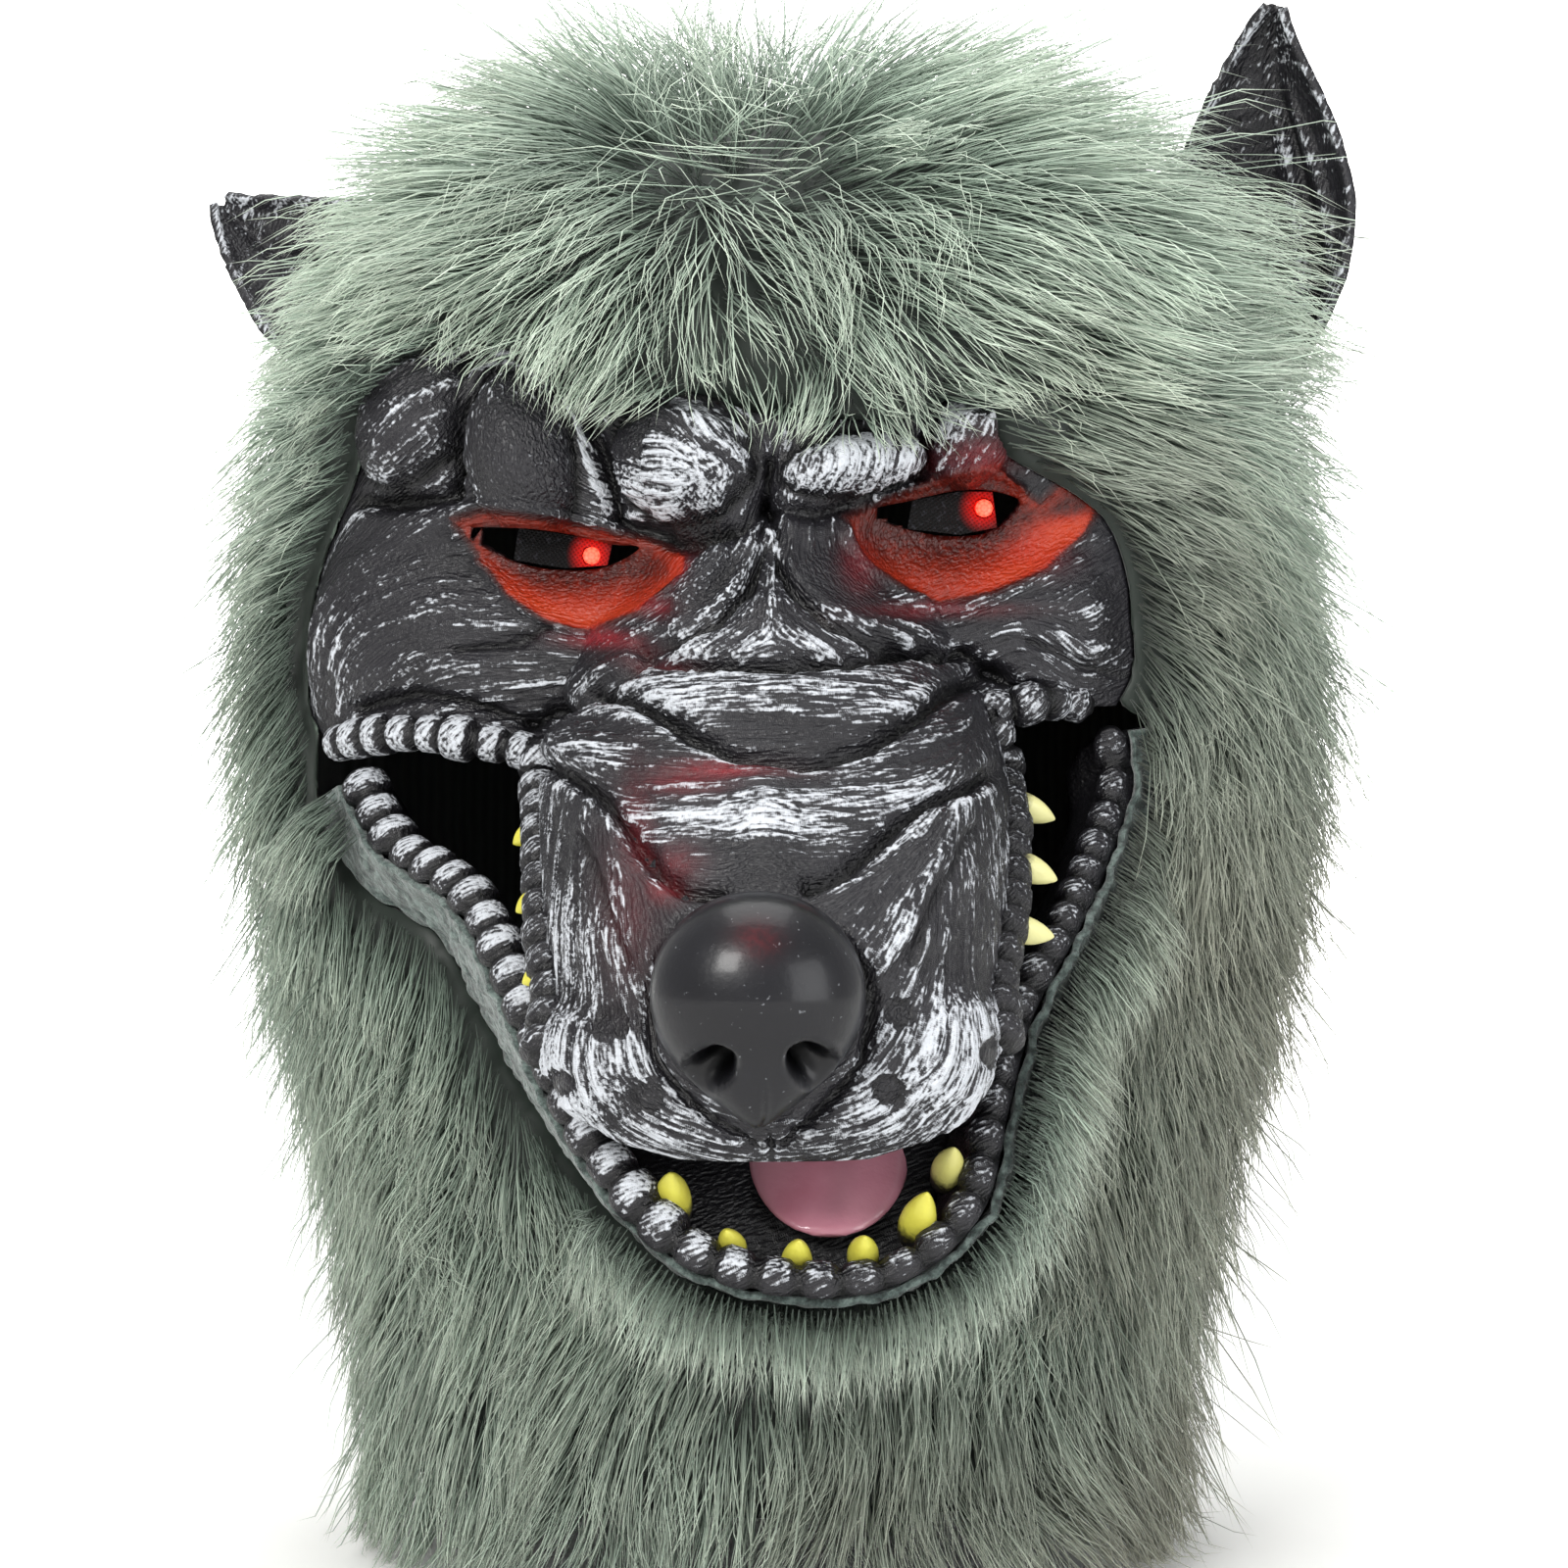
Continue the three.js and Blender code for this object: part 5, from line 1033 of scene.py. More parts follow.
# painted shade: dark in the gaps between beads and over the gum rows inside the lip
jawShade = np.outer(gap, (weights > .05) * 1.0)
jawShade[:, :5] = .55
jawMarks = wallMarks(stackOf(silver, 0, 0, jawShade))
first, last = round(jaw["stations"] * .26), round(jaw["stations"] * .76)
rimLine = lipAt[first:last + 1] - lipOut[first:last + 1] * (jaw["lip"] * 2.2) - jawUp * (jaw["gum"] * .8)
half = len(rimLine) // 2
leftRim, rightRim = rimLine[:half][::2], rimLine[::-1][:half][::2]
share = np.linspace(0, 1, jaw["floorSteps"])[None, :, None]
floorGrid = leftRim[:, None] * (1 - share) + rightRim[:, None] * share
if floorGrid.shape[0] % 2 == 0:
    floorGrid = floorGrid[:-1]
floorGrid = floorGrid - jawUp * (3 * np.sin(share * math.pi))
floorNormals = alike(gridNormals(floorGrid), jawUp)
floorPoints, floorFaces = wallFromGrid(floorGrid, jaw["floorWall"], None, floorNormals)
points, sets = joined([(jawPoints, jawFaces), (floorPoints, floorFaces)])
# painted shade over the floor of the mouth
floorShadeMarks = np.tile([.0, 0, 0, .5], (len(floorPoints), 1))
addMesh("moulded_jaw", points, sets, blackPvc, ["lower_jaw"],
        {"marks": np.vstack([jawMarks, floorShadeMarks]), "stroke": np.zeros(len(points)),
         "flow": np.tile([.9, 0, .4, 0], (len(points), 1))}, recalc=True)

# Plush strip over the skirt
nap = {"steps": 61, "thick": 2.6, "wall": 2}
plushGrid = np.stack([skirtAt(s) for s in np.linspace(.03, 1, nap["steps"])], 1)
plushNormals = alike(gridNormals(plushGrid), lipOut[:, None])
tufts = waves(plushGrid, 3.2, 21, 12) * .5 + waves(plushGrid, 7, 22) * .4
plushGrid = plushGrid + plushNormals * (nap["thick"] + tufts)[..., None]
plushPoints, plushFaces = wallFromGrid(plushGrid, nap["wall"], None, plushNormals)
addMesh("chin_plush_strip", plushPoints, plushFaces, plush, ["chin_plush"], recalc=True)
print("jaw and plush")


# Teeth: pointed pegs with a worn root, a little bent and uneven
tooth = {
    "height": 11, "radius": 4, "sides": 20,
    "lower": [.415, .465, .51, .555, .603, .65], "lowerSize": [1.5, .95, 1.1, 1.15, 1.6, 1.25],
    "upper": [(-1, .715, .58), (-1, .775, .52), (-1, .84, .52), (1, .69, 1.05), (1, .745, 1.05),
              (1, .80, 1.0)],
}


def toothMesh(root, way, size, seed):
    height, radius = tooth["height"] * size, tooth["radius"] * math.sqrt(size)
    rng = np.random.default_rng(seed)
    side = unit(np.cross(way, np.array([.3, 1, .2])))
    other = np.cross(side, way)
    t = np.array([-.18, -.05, .08, .2, .34, .48, .62, .74, .84, .92, .97, 1.0])
    wide = np.array([.84, .92, .95, .95, .92, .85, .73, .58, .42, .27, .15, .05])
    turn = np.arange(tooth["sides"]) / tooth["sides"] * 2 * math.pi
    bend = (side * rng.uniform(-1, 1) + other * rng.uniform(-1, 1)) * .9
    flute = 1 + .05 * np.cos(turn * 3 + rng.uniform(0, 6))
    ring = side * (np.cos(turn) * flute)[:, None] + other * (np.sin(turn) * flute * .92)[:, None]
    rings = [root + way * height * a + bend * max(0, a) ** 2 + radius * w * ring for a, w in zip(t, wide)]
    points, sets = tube(np.stack(rings))
    rootness = np.concatenate([np.repeat(np.clip(1 - t * 1.6, 0, 1), tooth["sides"]), [1, 0]])
    return points, sets, rootness


def toothPiece(name, root, way, size, pale, seed):
    points, sets, rootness = toothMesh(root, unit(np.array(way)), size, seed)
    addMesh(name + "_enamel", points, sets, enamel, [name],
            {"marks": stackOf(rootness, pale, 0, 0)}, recalc=True)


for k, (along, size) in enumerate(zip(tooth["lower"], tooth["lowerSize"])):
    i = round(along * (jaw["stations"] - 1))
    root = lipAt[i] - lipOut[i] * (jaw["lip"] * 1.75) - jawUp * (jaw["gum"] * .32)
    toothPiece(f"tooth_lower_{k + 1}", root, jawUp + lipOut[i] * .1, size, .1 if k < 5 else .5, 30 + k)
for k, (side, drop, size) in enumerate(tooth["upper"]):
    wide = float(muzzle("muzzleWide", drop)) * face["muzzleHalf"] * float(muzzleSideAt(drop))
    root = faceBase(float(muzzleCentre(drop)) + side * wide, -drop * face["drop"])
    root[1] = hoodFrontAt(root[0], root[2]) - float(muzzle("muzzleLip", drop)) * face["reach"]
    way = unit(np.array([side * 1.0, .1, -.35 if side > 0 else -.5]))
    name = f"tooth_upper_{'left' if side < 0 else 'right'}_{k % 3 + 1}"
    toothPiece(name, root + way * 2, way, size, .85 if side > 0 else .05, 50 + k)

# Tongue, grooved down the middle and rolled up at the tip
tongue = {"width": 42, "length": 74, "thick": 9, "chin": .53, "sides": 40, "rings": 34, "groove": 1.6}
chin = lipAt[round(tongue["chin"] * (jaw["stations"] - 1))]
seat = -jaw["gum"] * .8 + tongue["thick"] * .75
turn = np.arange(tongue["sides"]) / tongue["sides"] * 2 * math.pi
rings = []
for t in np.linspace(0, 1, tongue["rings"]):
    half = tongue["width"] / 2 * math.sqrt(1 - (1 - min(1, t * 2.4 + .02)) ** 2)
    thick = tongue["thick"] / 2 * math.sqrt(1 - (1 - min(1, t * 2 + .02)) ** 2)
    middle = chin + jawBack * (jaw["lip"] * 3.4 + t * tongue["length"]) + jawUp * (seat + 3
                                                                                   * math.exp(-t * 5))
    groove = tongue["groove"] * np.exp(-(np.cos(turn) / .22) ** 2) * (np.sin(turn) > 0) * smoothStep(0, .2, t)
    rings.append(middle + np.array([1, 0, 0]) * (half * np.cos(turn))[:, None]
                 + jawUp * (thick * np.sin(turn) - groove)[:, None])
points, sets = tube(np.stack(rings))
addMesh("tongue_lacquered", points, sets, tongueCoat, ["tongue"], recalc=True)

# Nose pad: a broad dome that narrows to the groove over the lip, with two comma-shaped nostrils
nose = {"halfWidth": 26, "out": -2.5, "halfHeight": 25, "halfDepth": 21, "drop": 221, "nostril": 12,
        "rings": 91, "sides": 120}
centre = faceBase(nose["out"], -nose["drop"])
lat = np.linspace(.004, math.pi - .004, nose["rings"])
lon = np.arange(nose["sides"]) / nose["sides"] * 2 * math.pi
sx, sz = np.outer(np.sin(lat), np.sin(lon)), np.outer(np.sin(lat), np.cos(lon))
sy = np.repeat(np.cos(lat)[:, None], nose["sides"], 1)
low = np.clip(-sy, 0, 1)
narrow = 1 - .60 * low ** 2.6
notch = 1 - .10 * np.exp(-(sx * 4) ** 2) * np.clip(-sy * 2, 0, 1)
nosePoints = np.stack([centre[0] + sx * narrow * nose["halfWidth"],
                       centre[1] - nose["halfDepth"] * .35 - sz * notch * nose["halfDepth"] * (1 - .25 * low),
                       centre[2] + np.where(sy < 0, 1.3, 1) * sy * nose["halfHeight"]], -1)
noseX, noseY = drawnAt(nosePoints)
noseNormals = gridNormals(nosePoints)
noseNormals *= np.sign(((nosePoints - centre) * noseNormals).sum(-1))[..., None]
facing = smoothStep(-.1, -.5, noseNormals[..., 1])
hollow = np.zeros(noseX.shape)
for side, nx, ny in ((-1, 724, 1093), (1, 831, 1089)):
    u, v = (noseX - nx) * side, noseY - ny
    comma = np.hypot((u * .94 + v * .34) / 27, (v * .94 - u * .34) / 21)
    hollow = np.maximum(hollow, smoothStep(1.25, .55, comma))
    wing = np.exp(-((np.hypot(u / 24, (v + 2) / 21) - 1) / .22) ** 2) * smoothStep(-14, 6, u + .3 * v)
    nosePoints = nosePoints + noseNormals * (wing * 1.5 * facing)[..., None]
nosePoints = nosePoints - noseNormals * (hollow * facing * nose["nostril"])[..., None]
septum = np.exp(-((noseX - 782) / 5) ** 2) * smoothStep(1080, 1130, noseY)
nosePoints = nosePoints - noseNormals * (septum * .9 * facing)[..., None]
stain = .22 * np.exp(-(((noseX - 772) / 22) ** 2 + ((noseY - 958) / 18) ** 2))
# the first mark is painted shade in the nostrils
mark = stackOf(hollow * facing, 0, stain, 0).reshape(-1, 4)
points, sets = tube(nosePoints)
addMesh("nose_lacquered", points, sets, noseCoat, ["nose_pad"],
        {"marks": np.vstack([mark, np.zeros((2, 4))])}, recalc=True)
print("teeth, tongue and nose")

# Screens, lamps and the hood's cloth keep their shape and get better materials
def recoat(node, material):
    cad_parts[node].data.materials.clear()
    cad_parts[node].data.materials.append(material)


for side in eyeShapes:
    low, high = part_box(f"eye_lamp_{side}")
    tip = ((low.x + high.x) / 2, low.y + .0022, (low.z + high.z) / 2)
    recoat(f"eye_screen_{side}", screenMesh(f"woven black screen {side}", tip))
    recoat(f"eye_lamp_{side}", lampLens(f"red epoxy lamp {side}", tip))
recoat("hood_cloth", backing)

# Ears: moulded leaves with a rolled edge, folds in the cup and silver on the high lines
ear = {
    "height": 84, "halfWidth": 27, "cup": 16, "back": 6, "wall": 2.6, "rows": 101, "columns": 71,
    "along": [-.16, .02, .18, .36, .54, .70, .84, .94, 1],
    "wide": [.66, .90, 1, .97, .80, .58, .34, .16, .05],
    "cupAt": [.90, 1, 1, .92, .78, .60, .42, .24, .08], "sway": [0, 0, .02, .04, .02, -.04, -.10, -.12, -.10],
    "left": {"out": -.80, "drop": .142, "tilt": -54, "turn": 20, "lean": -38},
    "right": {"out": 1.01, "drop": .130, "tilt": 7, "turn": -24, "lean": 4},
}


def turned(points, degrees, axis):
    a = math.radians(degrees)
    c, s = math.cos(a), math.sin(a)
    i, j = [(1, 2), (2, 0), (0, 1)][axis]
    out = points.copy()
    out[..., i] = points[..., i] * c - points[..., j] * s
    out[..., j] = points[..., i] * s + points[..., j] * c
    return out


def placeEar(points, pose):
    points = turned(points, pose["turn"], 2)
    points = turned(points, pose["lean"], 0)
    points = turned(points, pose["tilt"], 1)
    z = float(hoodSection(pose["drop"] * hood["drop"], hood["cloth"])[3])
    return points + np.array([pose["out"] * hood["halfWidth"], -ear["back"], z])


for side in ("left", "right"):
    along = np.linspace(-.16, 1, ear["rows"])[:, None]
    u = np.linspace(-1, 1, ear["columns"])[None, :]
    wide, cup, sway = [readCurve(ear["along"], ear[key], along) for key in ("wide", "cupAt", "sway")]
    depth = (1 - u ** 2 + .10 * np.cos(u * 7) * (1 - u ** 2)) * cup * ear["cup"]
    fold = np.exp(-((u - (.55 - .9 * along)) / .13) ** 2) * smoothStep(.75, .5, along)
    fold = fold * smoothStep(0, .1, along)
    foldTwo = np.exp(-((u - (.98 - 1.0 * along)) / .10) ** 2) * smoothStep(.85, .6, along)
    foldTwo = foldTwo * smoothStep(.1, .25, along)
    valley = np.exp(-((u - (.76 - .95 * along)) / .10) ** 2) * smoothStep(.8, .55, along)
    rimRoll = np.exp(-((1 - np.abs(u)) / .10) ** 2)
    depth = depth - 3.4 * fold - 2.6 * foldTwo + 1.6 * valley - 1.6 * rimRoll
    grid = stackOf((u * wide + sway) * ear["halfWidth"], depth, along * ear["height"])
    ripple, _ = strokeField(grid, 400 + grid[..., 0], 620 - grid[..., 2] * .2, 8)
    grid[..., 1] += ripple * .35
    grid = placeEar(grid, ear[side])
    back = placeEar(np.array([[0, 1.0, 0]]), ear[side]) - placeEar(np.zeros((1, 3)), ear[side])
    normals = alike(gridNormals(grid), -back)
    points, sets = wallFromGrid(grid, ear["wall"], None, normals)
    silver = .14 + .5 * fold + .5 * foldTwo + .3 * rimRoll + .25 * smoothStep(.7, .95, along) - .3 * valley
    silver = silver + .3 * smoothStep(.25, .1, along) * smoothStep(.2, .8, u)
    shadow = .5 * np.exp(-((u + .15) / .3) ** 2) * smoothStep(.75, .4, along) + .6 * valley - fold
    mark = wallMarks(stackOf(np.clip(silver, 0, 1), 0, 0, np.clip(shadow, 0, 1)), (.3, 0, 0, .1))
    strokeMark = wallMarks(stackOf(ripple, 0, 0, 0))[:, 0]
    addMesh(f"moulded_ear_{side}", points, sets, blackPvc, [f"ear_{side}"],
            {"marks": mark, "stroke": strokeMark, "flow": np.tile([.35, 0, .9, 0], (len(points), 1))},
            recalc=True)
print("eyes and ears")

# Fur. Hair roots lie on the cloth. Each hair is walked over the hood along the lie of the pile,
# at a height above the cloth that grows from root to tip, and bends towards its lock.
fur = {
    "frontHairs": 31000, "backHairs": 12000, "chinHairs": 3800, "perPiece": 11000, "steps": 8, "seed": 7,
    "locks": 3000, "bigLocks": 620, "clump": .80, "bigClump": .5, "strays": .12,
    "pile": 60, "width": .45, "rise": 19, "riseRight": 10, "riseLeft": 9, "riseTop": 27, "underHeight": 3.2,
    "whorl": (-12, -62, -16), "edge": 1.5, "floor": -400,
    # the shears: axis, side, where the cut starts and how deep it fades
    "trim": [(0, 1, 168, 15), (0, -1, 174, 14), (1, 1, 152, 15), (2, 1, 44, 14)],
}
whorl = np.array(fur["whorl"])


def openingRing():  # hole in the hood, in the front view: round the face, then round the plush
    left = form[:leftRow * 2, 0][:, [0, 2]]
    right = form[:rightRow * 2, -1][:, [0, 2]]
    top = form[0, 1:-1][:, [0, 2]]
    under = plushGrid[:, -1][:, [0, 2]]
    return np.vstack([left[::6], under[::6], right[::-6], top[::-6]])


openingEdge = openingRing()
openingList = [tuple(p) for p in openingEdge]
openingClosed = openingList + openingList[:1]


def edgeDistance(points):  # signed way from the hole in the front view: positive on the fur's side
    x, z = points[..., 0], points[..., 2]
    away = runDistance(x, z, openingClosed)
    signed = np.where(insideRun(x, z, openingList), -away, away)
    return np.where(points[..., 1] > -10, 60, signed)


# the fronts of the moulded parts, as a map of depth over the front view
mapStep, mapLow, mapSize = 2.0, np.array([-150.0, -330.0]), (151, 151)
frontMap = np.full(mapSize, 1e3)
for cloud in (form[cornerKept], jawGrid.reshape(-1, 3), plushGrid.reshape(-1, 3), nosePoints.reshape(-1, 3)):
    i = np.rint((cloud[:, 0] - mapLow[0]) / mapStep).astype(int)
    j = np.rint((cloud[:, 2] - mapLow[1]) / mapStep).astype(int)
    ok = (i >= 0) & (j >= 0) & (i < mapSize[0]) & (j < mapSize[1])
    np.minimum.at(frontMap, (i[ok], j[ok]), cloud[ok, 1])
for _ in range(2):
    spread = np.pad(frontMap, 1, constant_values=1e3)
    frontMap = np.minimum.reduce([frontMap, spread[:-2, 1:-1], spread[2:, 1:-1],
                                  spread[1:-1, :-2], spread[1:-1, 2:]])


def clearOfFace(points, gap):
    i = np.clip(np.rint((points[..., 0] - mapLow[0]) / mapStep).astype(int), 0, mapSize[0] - 1)
    j = np.clip(np.rint((points[..., 2] - mapLow[1]) / mapStep).astype(int), 0, mapSize[1] - 1)
    front = frontMap[i, j]
    out = points.copy()
    hit = (front < 500) & (points[..., 1] > front - gap) & (points[..., 1] < 0)
    out[..., 1] = np.where(hit, front - gap, points[..., 1])
    return out


def hoodRay(points):  # point on the hood's axis, way out from it, and how far the cloth lies along that way
    axis = np.zeros_like(points)
    axis[..., 2] = np.minimum(points[..., 2], -100)
    out = unit(points - axis)
    low, high = np.zeros(out.shape[:-1]), np.full(out.shape[:-1], 200.0)
    for _ in range(13):
        middle = (low + high) / 2
        at = axis + out * middle[..., None]
        half, front, back, _ = hoodSection(np.clip(-at[..., 2], .01, hood["drop"]), hood["cloth"])
        depth = np.where(at[..., 1] < 0, front, back)
        aside = np.abs(at[..., 0]) / np.maximum(half, .1)
        ahead = np.abs(at[..., 1]) / np.maximum(depth, .1)
        inside = (aside ** hood["square"] + ahead ** hood["square"] < 1) & (at[..., 2] < hood["cloth"])
        low, high = np.where(inside, middle, low), np.where(inside, high, middle)
    return axis, out, low


def lieOfPile(points, normals):  # direction that the pile is combed in
    x, y, z = points[..., 0], points[..., 1], points[..., 2]
    radial = unit(points - whorl)
    crown = smoothStep(-170, -40, z)
    way = radial * (.35 + .9 * crown)[..., None] + np.array([0, 0, -1.0]) * (.95 - .55 * crown)[..., None]
    rightSide = smoothStep(70, 125, x) * smoothStep(-170, -60, z) * smoothStep(60, -40, y)
    beside = (smoothStep(24, 5, edgeDistance(points)) * smoothStep(-20, -50, y)
              * smoothStep(-95, -125, z) * smoothStep(-310, -270, z))
    inward = beside * np.where(x > 0, .95, np.where(z > -185, .6, .3)) * np.sign(x)
    way = way - inward[..., None] * np.array([1.0, 0, 0])
    way = way + rightSide[..., None] * np.array([.9, -.1, .75])
    leftSide = smoothStep(-80, -130, x) * smoothStep(-260, -80, z)
    way = way + leftSide[..., None] * np.array([-.45, 0, -.1])
    hem = smoothStep(-290, -380, z)
    way = way + (hem * np.sign(x) * .18)[..., None] * np.array([1.0, 0, 0])
    drift = np.stack([waves(points, 42, seed) for seed in (71, 72, 73)], -1)
    way = way + drift * .42
    way = way - normals * (way * normals).sum(-1, keepdims=True)
    return unit(way)


def rootsOnHood(count, front, rng):
    found, total = [], 0
    while total < count:
        drop = rng.uniform(0, 1.0, count) * hood["drop"]
        angle = rng.uniform(0, 2 * math.pi, count)
        half = hoodSection(drop, hood["cloth"])[0]
        slope = (hoodSection(drop + 1, 0)[0] - hoodSection(np.maximum(drop - 1, 0), 0)[0]) / 2
        place = hoodPoint(drop, angle, hood["cloth"])
        nearWhorl = np.exp(-(np.linalg.norm(place - whorl, axis=1) / 34) ** 2)
        lowOrRight = np.maximum(smoothStep(-190, -225, place[:, 2]), smoothStep(60, 90, place[:, 0]))
        crowded = np.maximum(nearWhorl, smoothStep(46, 14, edgeDistance(place)) * lowOrRight)
        keep = rng.random(count) < half * np.sqrt(1 + slope ** 2) / 230 * (.45 + .55 * crowded)
        if front is not None:
            keep &= (np.sin(angle) < .22) == front
        point = hoodPoint(drop[keep], angle[keep], hood["cloth"] + .4)
        point = point[edgeDistance(point) > fur["edge"]]
        found.append(point)
        total += len(point)
    return np.vstack(found)[:count]


def pileLength(points):
    x, y, z = points[..., 0], points[..., 1], points[..., 2]
    edge = edgeDistance(points)
    front = smoothStep(10, -50, y)
    length = np.full(x.shape, float(fur["pile"]))
    brow = front * smoothStep(-175, -120, z)
    length = length - brow * np.maximum(0, length - (15 + edge * 1.05))
    side = smoothStep(26, 4, edge) * smoothStep(-110, -150, z) * front
    length = length * (1 - np.where(x < 0, .16, .12) * side)
    return length * (1 - .12 * smoothStep(-60, -120, x)) * (1 - .3 * smoothStep(-345, -385, z))


def riseAt(points):  # how proud the tips stand of the cloth
    x, y, z = points[..., 0], points[..., 1], points[..., 2]
    right = fur["riseRight"] * smoothStep(40, 125, x) * smoothStep(80, 0, y)
    rise = fur["rise"] + right * smoothStep(-400, -260, z)
    rise = rise + fur["riseTop"] * smoothStep(-95, -20, z) * (1 - .75 * smoothStep(-45, -105, x))
    rise = rise + fur["riseLeft"] * smoothStep(-60, -120, x) * smoothStep(-330, -230, z)
    low = smoothStep(22, 3, edgeDistance(points)) * smoothStep(0, -60, y)
    return rise * (1 - np.where(x < 40, .35, .1) * low)


def combed(roots, length, rise, swing, curl, phase):  # hair lines, walked step by step
    at, line = roots.copy(), [roots]
    _, out, _ = hoodRay(at)
    swing = swing * (1 + 24 * np.exp(-(np.linalg.norm(roots - whorl, axis=1) / 11) ** 4))
    for k in range(fur["steps"]):
        t = (k + 1) / fur["steps"]
        way = lieOfPile(at, out)
        turn = swing + curl * np.sin(phase + t * 5)
        way = way * np.cos(turn)[:, None] + np.cross(out, way) * np.sin(turn)[:, None]
        at = at + way * (length / fur["steps"])[:, None]
        axis, out, cloth = hoodRay(at)
        at = axis + out * (cloth + .4 + rise * (1 - (1 - t) ** 1.5))[:, None]
        line.append(at)
    return np.stack(line, 1)


def nearestOf(points, places):
    nearest = np.empty(len(points), int)
    for start in range(0, len(points), 4000):
        part = points[start:start + 4000]
        nearest[start:start + 4000] = np.argmin(((part[:, None] - places[None]) ** 2).sum(-1), axis=1)
    return nearest


def intoLocks(lines, lockLines, nearest, ratio, pull):  # hair bends towards the line of its lock
    steps = fur["steps"]
    mixed = lines.copy()
    for k in range(1, steps + 1):
        place = np.clip(k / steps * ratio, 0, .9999) * steps
        low = place.astype(int)
        share = (place - low)[:, None]
        target = lockLines[nearest, low] * (1 - share) + lockLines[nearest, low + 1] * share
        mixed[:, k] += (target - lines[:, k]) * (pull * (k / steps) ** .9)[:, None]
    return mixed


rng = np.random.default_rng(fur["seed"])


def locks(count, swing, curl):
    at = rootsOnHood(count, None, rng)
    length = pileLength(at) * rng.uniform(.8, 1.12, count)
    lines = combed(at, length, riseAt(at) * rng.uniform(.55, 1.25, count), rng.normal(0, swing, count),
                   rng.uniform(0, curl, count), rng.uniform(0, 6.3, count))
    return at, length, lines, rng.random(count)


bigAt, bigLength, bigLines, bigTone = locks(fur["bigLocks"], .34, .5)
lockAt, lockLength, lockLines, lockTone = locks(fur["locks"], .2, .35)
ofBig = nearestOf(lockAt, bigAt)
lockLines = intoLocks(lockLines, bigLines, ofBig, lockLength / bigLength[ofBig],
                      np.full(len(lockAt), fur["bigClump"]))
lockTone = lockTone * .5 + bigTone[ofBig] * .5


def hairMesh(lines, widths, taper, rng):  # closed three-sided blades that end in a point
    n, rings = lines.shape[:2]
    along = unit(np.gradient(lines, axis=1))
    aside = unit(np.cross(along, unit(rng.normal(size=(n, 1, 3)))))
    upward = np.cross(along, aside)
    turn = np.arange(3) / 3 * 2 * math.pi
    width = widths[:, None, None] * np.array(taper[:-1])[None, :, None]
    spoke = aside[:, :-1, None] * np.cos(turn)[:, None] + upward[:, :-1, None] * np.sin(turn)[:, None]
    body = lines[:, :-1, None] + spoke * width[..., None] / 2
    points = np.concatenate([body.reshape(n, -1, 3), lines[:, -1:]], 1)
    per = (rings - 1) * 3 + 1
    faces3, faces4 = [[0, 2, 1]], []
    for r in range(rings - 2):
        for side in range(3):
            low, lowNext = r * 3 + side, r * 3 + (side + 1) % 3
            faces4.append([low, lowNext, lowNext + 3, low + 3])
    base = (rings - 2) * 3
    faces3 += [[base + side, base + (side + 1) % 3, base + 3] for side in range(3)]
    starts = (np.arange(n) * per)[:, None, None]
    sets = [(np.array(faces4)[None] + starts).reshape(-1, 4),
            (np.array(faces3)[None] + starts).reshape(-1, 3)]
    return points.reshape(-1, 3), sets, per


def hairPieces(name, lines, tone, brown, widths, picks, taper, rng):
    lines = clearOfFace(lines, 1.2)[:, picks]
    lines[..., 2] = np.maximum(lines[..., 2], fur["floor"])
    for axis, sign, knee, room in fur["trim"]:
        over = np.maximum(0, lines[..., axis] * sign - knee)
        lines[..., axis] = np.where(over > 0, (knee + room * np.tanh(over / room)) * sign, lines[..., axis])
    shares = np.array(picks) / fur["steps"]
    ringShare = np.concatenate([np.repeat(shares[:-1], 3), [1.0]])
    order = rng.permutation(len(lines))
    for k, start in enumerate(range(0, len(order), fur["perPiece"])):
        part = order[start:start + fur["perPiece"]]
        points, sets, per = hairMesh(lines[part], widths[part], taper, rng)
        color = stackOf(np.tile(ringShare, len(part)), np.repeat(tone[part], per),
                        np.repeat(brown[part], per), 1)
        addMesh(f"{name}_{k + 1}", points, sets, pileFur, marks={"fur": color})


def brownAt(points):
    x, z = points[:, 0], points[:, 2]
    brown = smoothStep(60, 120, x) * smoothStep(-90, -200, z) * .75
    brown = brown + .35 * np.clip(waves(points, 60, 91), 0, 1) * smoothStep(0, 90, x)
    return np.clip(brown + .5 * smoothStep(-300, -350, z) * smoothStep(-20, 30, x), 0, .9)


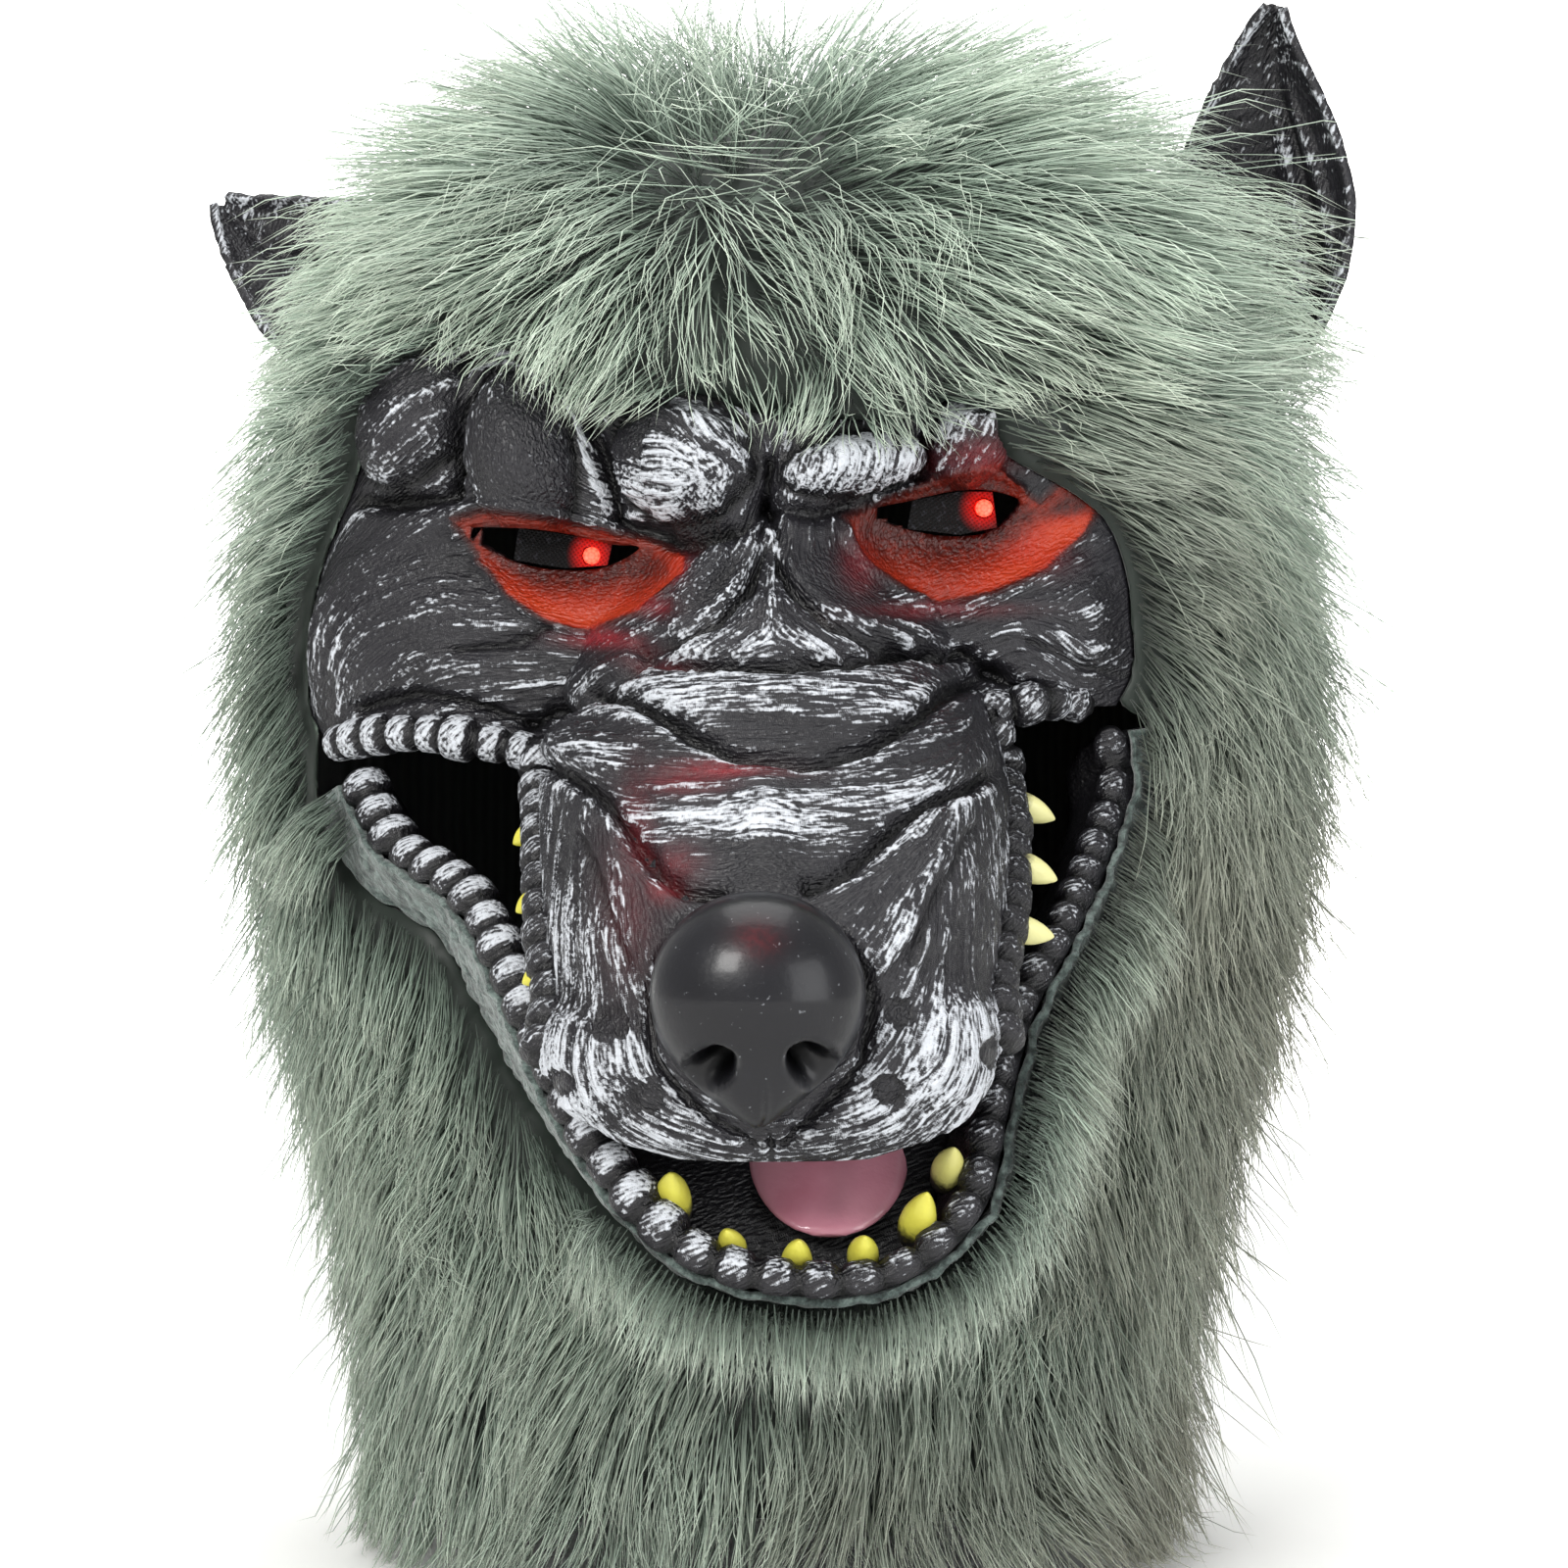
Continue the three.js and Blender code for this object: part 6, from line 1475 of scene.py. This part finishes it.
fourRings = ([0, 3, 6, 8], [.85, 1, .72, 0])  # steps of the walk that become rings, and their widths
for name, count, front, (picks, taper) in (("long_pile", fur["frontHairs"], True, fourRings),
                                           ("back_pile", fur["backHairs"], False, ([0, 4, 8], [1, 1, 0]))):
    roots = rootsOnHood(count, front, rng)
    nearest = nearestOf(roots, lockAt)
    stray = rng.random(count) < fur["strays"]
    length = pileLength(roots) * rng.uniform(.62, 1.06, count)
    lines = combed(roots, length, riseAt(roots) * rng.uniform(.45, 1.2, count) * np.where(stray, 1.3, 1),
                   rng.normal(0, .10, count), np.zeros(count), np.zeros(count))
    frizz = smoothStep(70, 120, roots[:, 0]) * smoothStep(60, -20, roots[:, 1])
    pull = np.where(stray, .1, fur["clump"] * rng.uniform(.5, 1.15, count)) * (1 - .4 * frizz)
    lines = intoLocks(lines, lockLines, nearest, length / lockLength[nearest], pull)
    loose = rng.normal(size=(count, 1, 3)) * (np.arange(fur["steps"] + 1) / fur["steps"])[None, :, None] ** 2
    lines = lines + loose * (np.where(stray, 4.5, 1.5) * (1 + frizz))[:, None, None]
    tone = lockTone[nearest] * .55 + rng.random(count) * .45
    # painted light: the pile is lighter toward the top and darker on the right
    tone = tone + .5 * smoothStep(-125, -60, roots[:, 2]) - .1 * smoothStep(60, 120, roots[:, 0])
    widths = fur["width"] * rng.uniform(.7, 1.25, count) * (1 if front else 1.6)
    hairPieces(name, lines, tone, brownAt(roots), widths, picks, taper, rng)
print("pile combed")

# Pile on the skirt below the chin and on the right, where it runs up to the lip
count = fur["chinHairs"]
share = np.where(rng.random(count) < .06, rng.uniform(0, .05, count), rng.uniform(.40, 1, count))
station = (share * (jaw["stations"] - 1)).astype(int)
column = (rng.uniform(.04, 1, count) * (plushGrid.shape[1] - 1)).astype(int)
roots = plushGrid[station, column]
normals = plushNormals[station, column]
skirtWay = unit(skirtAt(1) - skirtAt(0))[station]
way = unit(skirtWay * .5 + np.array([0, 0, -.75]) + rng.normal(size=roots.shape) * .16
           + waves(roots, 16, 55)[:, None] * np.array([.3, 0, 0]))
length = rng.uniform(20, 36, count)
at, line = roots - normals * .5, [roots - normals * .5]
for k in range(fur["steps"]):
    t = (k + .5) / fur["steps"]
    lean = .62 * (1 - t) + .10
    step = unit(way * (1 - lean) + normals * lean + np.array([0, 0, -.35]) * t)
    at = at + step * (length / fur["steps"])[:, None]
    line.append(at)
tone = rng.random(count)
widths = fur["width"] * rng.uniform(.7, 1.2, count)
hairPieces("chin_pile", np.stack(line, 1), tone, brownAt(roots), widths, *fourRings, rng)

# Underfur: the dense body of the pile between the long hairs, darkened as painted shade and lighter on its
# raised locks
drops = np.concatenate([[1.2], np.linspace(4, hood["drop"] * .985, 124)])
angles = np.linspace(0, 2 * math.pi, 193) + math.pi / 2
dropGrid, angleGrid = np.meshgrid(drops, angles, indexing="ij")
onCloth = hoodPoint(dropGrid, angleGrid, hood["cloth"] + .4)
edge = edgeDistance(onCloth)
lockiness = waves(onCloth * np.array([1, 1, .45]), 14, 31, 10)
height = fur["underHeight"] * (1 + .35 * lockiness) * smoothStep(0, 14, edge) + .5
flat = hoodPoint(dropGrid, angleGrid, hood["cloth"] + .4 + height)
keep = (edge > -1)[1::2, 1::2]
ringX, ringZ = [np.interp(np.linspace(0, len(openingEdge), 900), np.arange(len(openingEdge) + 1),
                          np.append(openingEdge[:, k], openingEdge[0, k])) for k in (0, 1)]
for i, j in np.argwhere(cornersOf(keep) & cornersOf(~keep)):
    k = np.argmin((ringX - flat[i, j, 0]) ** 2 + (ringZ - flat[i, j, 2]) ** 2)
    flat[i, j] = (ringX[k], float(hoodFrontAt(ringX[k], ringZ[k])) - .6, ringZ[k])
underPoints, underFaces = wallFromGrid(flat, 1.0, keep)
# painted shade: low on the root-to-tip ramp, lighter where the layer rises
depthShare = np.clip(.12 + .16 * lockiness, 0, .4)
color = stackOf(depthShare, .5 + .3 * np.clip(lockiness, -1, 1), 0, 1)
addMesh("underfur", underPoints, underFaces, shadedUnderFur, ["fur_pelt"],
        {"fur": wallMarks(color, (0, .3, 0, 1))}, recalc=True)

# Studio: pale sweep, soft lights and the camera
studio = {"floor": -.405, "key": 25, "fill": 12.5, "top": 13, "backdrop": 60, "world": .6}
sweep = []
for y, z in ((-3, 0), (1.6, 0), (2.1, .04), (2.5, .16), (2.7, .4), (2.78, .75), (2.78, 3.4)):
    sweep += [(-3, y, z + studio["floor"]), (3, y, z + studio["floor"])]
mesh = bpy.data.meshes.new("studio_sweep")
mesh.from_pydata(sweep, [], [(i, i + 1, i + 3, i + 2) for i in range(0, len(sweep) - 2, 2)])
mesh.polygons.foreach_set("use_smooth", [True] * len(mesh.polygons))
backdrop = bpy.data.objects.new("studio_sweep", mesh)
bpy.context.scene.collection.objects.link(backdrop)
paper, tree = newMaterial("white seamless paper")
finishMaterial(tree, {"Base Color": "f4f4f2", "Roughness": .9})
mesh.materials.append(paper)


def softLight(name, place, aim, size, watts, color):
    data = bpy.data.lights.new(name, "AREA")
    data.size, data.energy, data.color = size, watts, color
    lamp = bpy.data.objects.new(name, data)
    lamp.location = place
    lamp.rotation_mode = "QUATERNION"
    lamp.rotation_quaternion = (Vector(aim) - Vector(place)).to_track_quat("-Z", "Y")
    bpy.context.scene.collection.objects.link(lamp)


softLight("key softbox", (-.75, -1.5, .75), (0, -.1, -.18), .6, studio["key"], (1, .99, .97))
softLight("fill softbox", (1.2, -1.2, .1), (0, -.1, -.18), 1.1, studio["fill"], (.97, .98, 1))
softLight("top softbox", (0, .1, 1.3), (0, -.05, -.1), 1.2, studio["top"], (1, 1, 1))
for side in (-1, 1):
    softLight("backdrop lamp", (side * 1.2, 1.6, .7), (side * .2, 2.7, .1), .9, studio["backdrop"], (1, 1, 1))
world = bpy.data.worlds.new("studio air")
world.use_nodes = True
world.node_tree.nodes["Background"].inputs[0].default_value = (1, 1, 1, 1)
world.node_tree.nodes["Background"].inputs[1].default_value = studio["world"]
bpy.context.scene.world = world
bpy.context.scene.view_settings.view_transform = "Standard"

camera = bpy.data.objects.new("camera", bpy.data.cameras.new("camera"))
camera.data.lens, camera.data.sensor_width = 50, 50 * 1600 * view["unit"] / view["distance"]
camera.location = Vector(eyePoint / 1000)
camera.rotation_mode = "QUATERNION"
camera.rotation_quaternion = Vector(lookWay).to_track_quat("-Z", "Y")
bpy.context.scene.collection.objects.link(camera)
bpy.context.scene.camera = camera
print("studio ready")
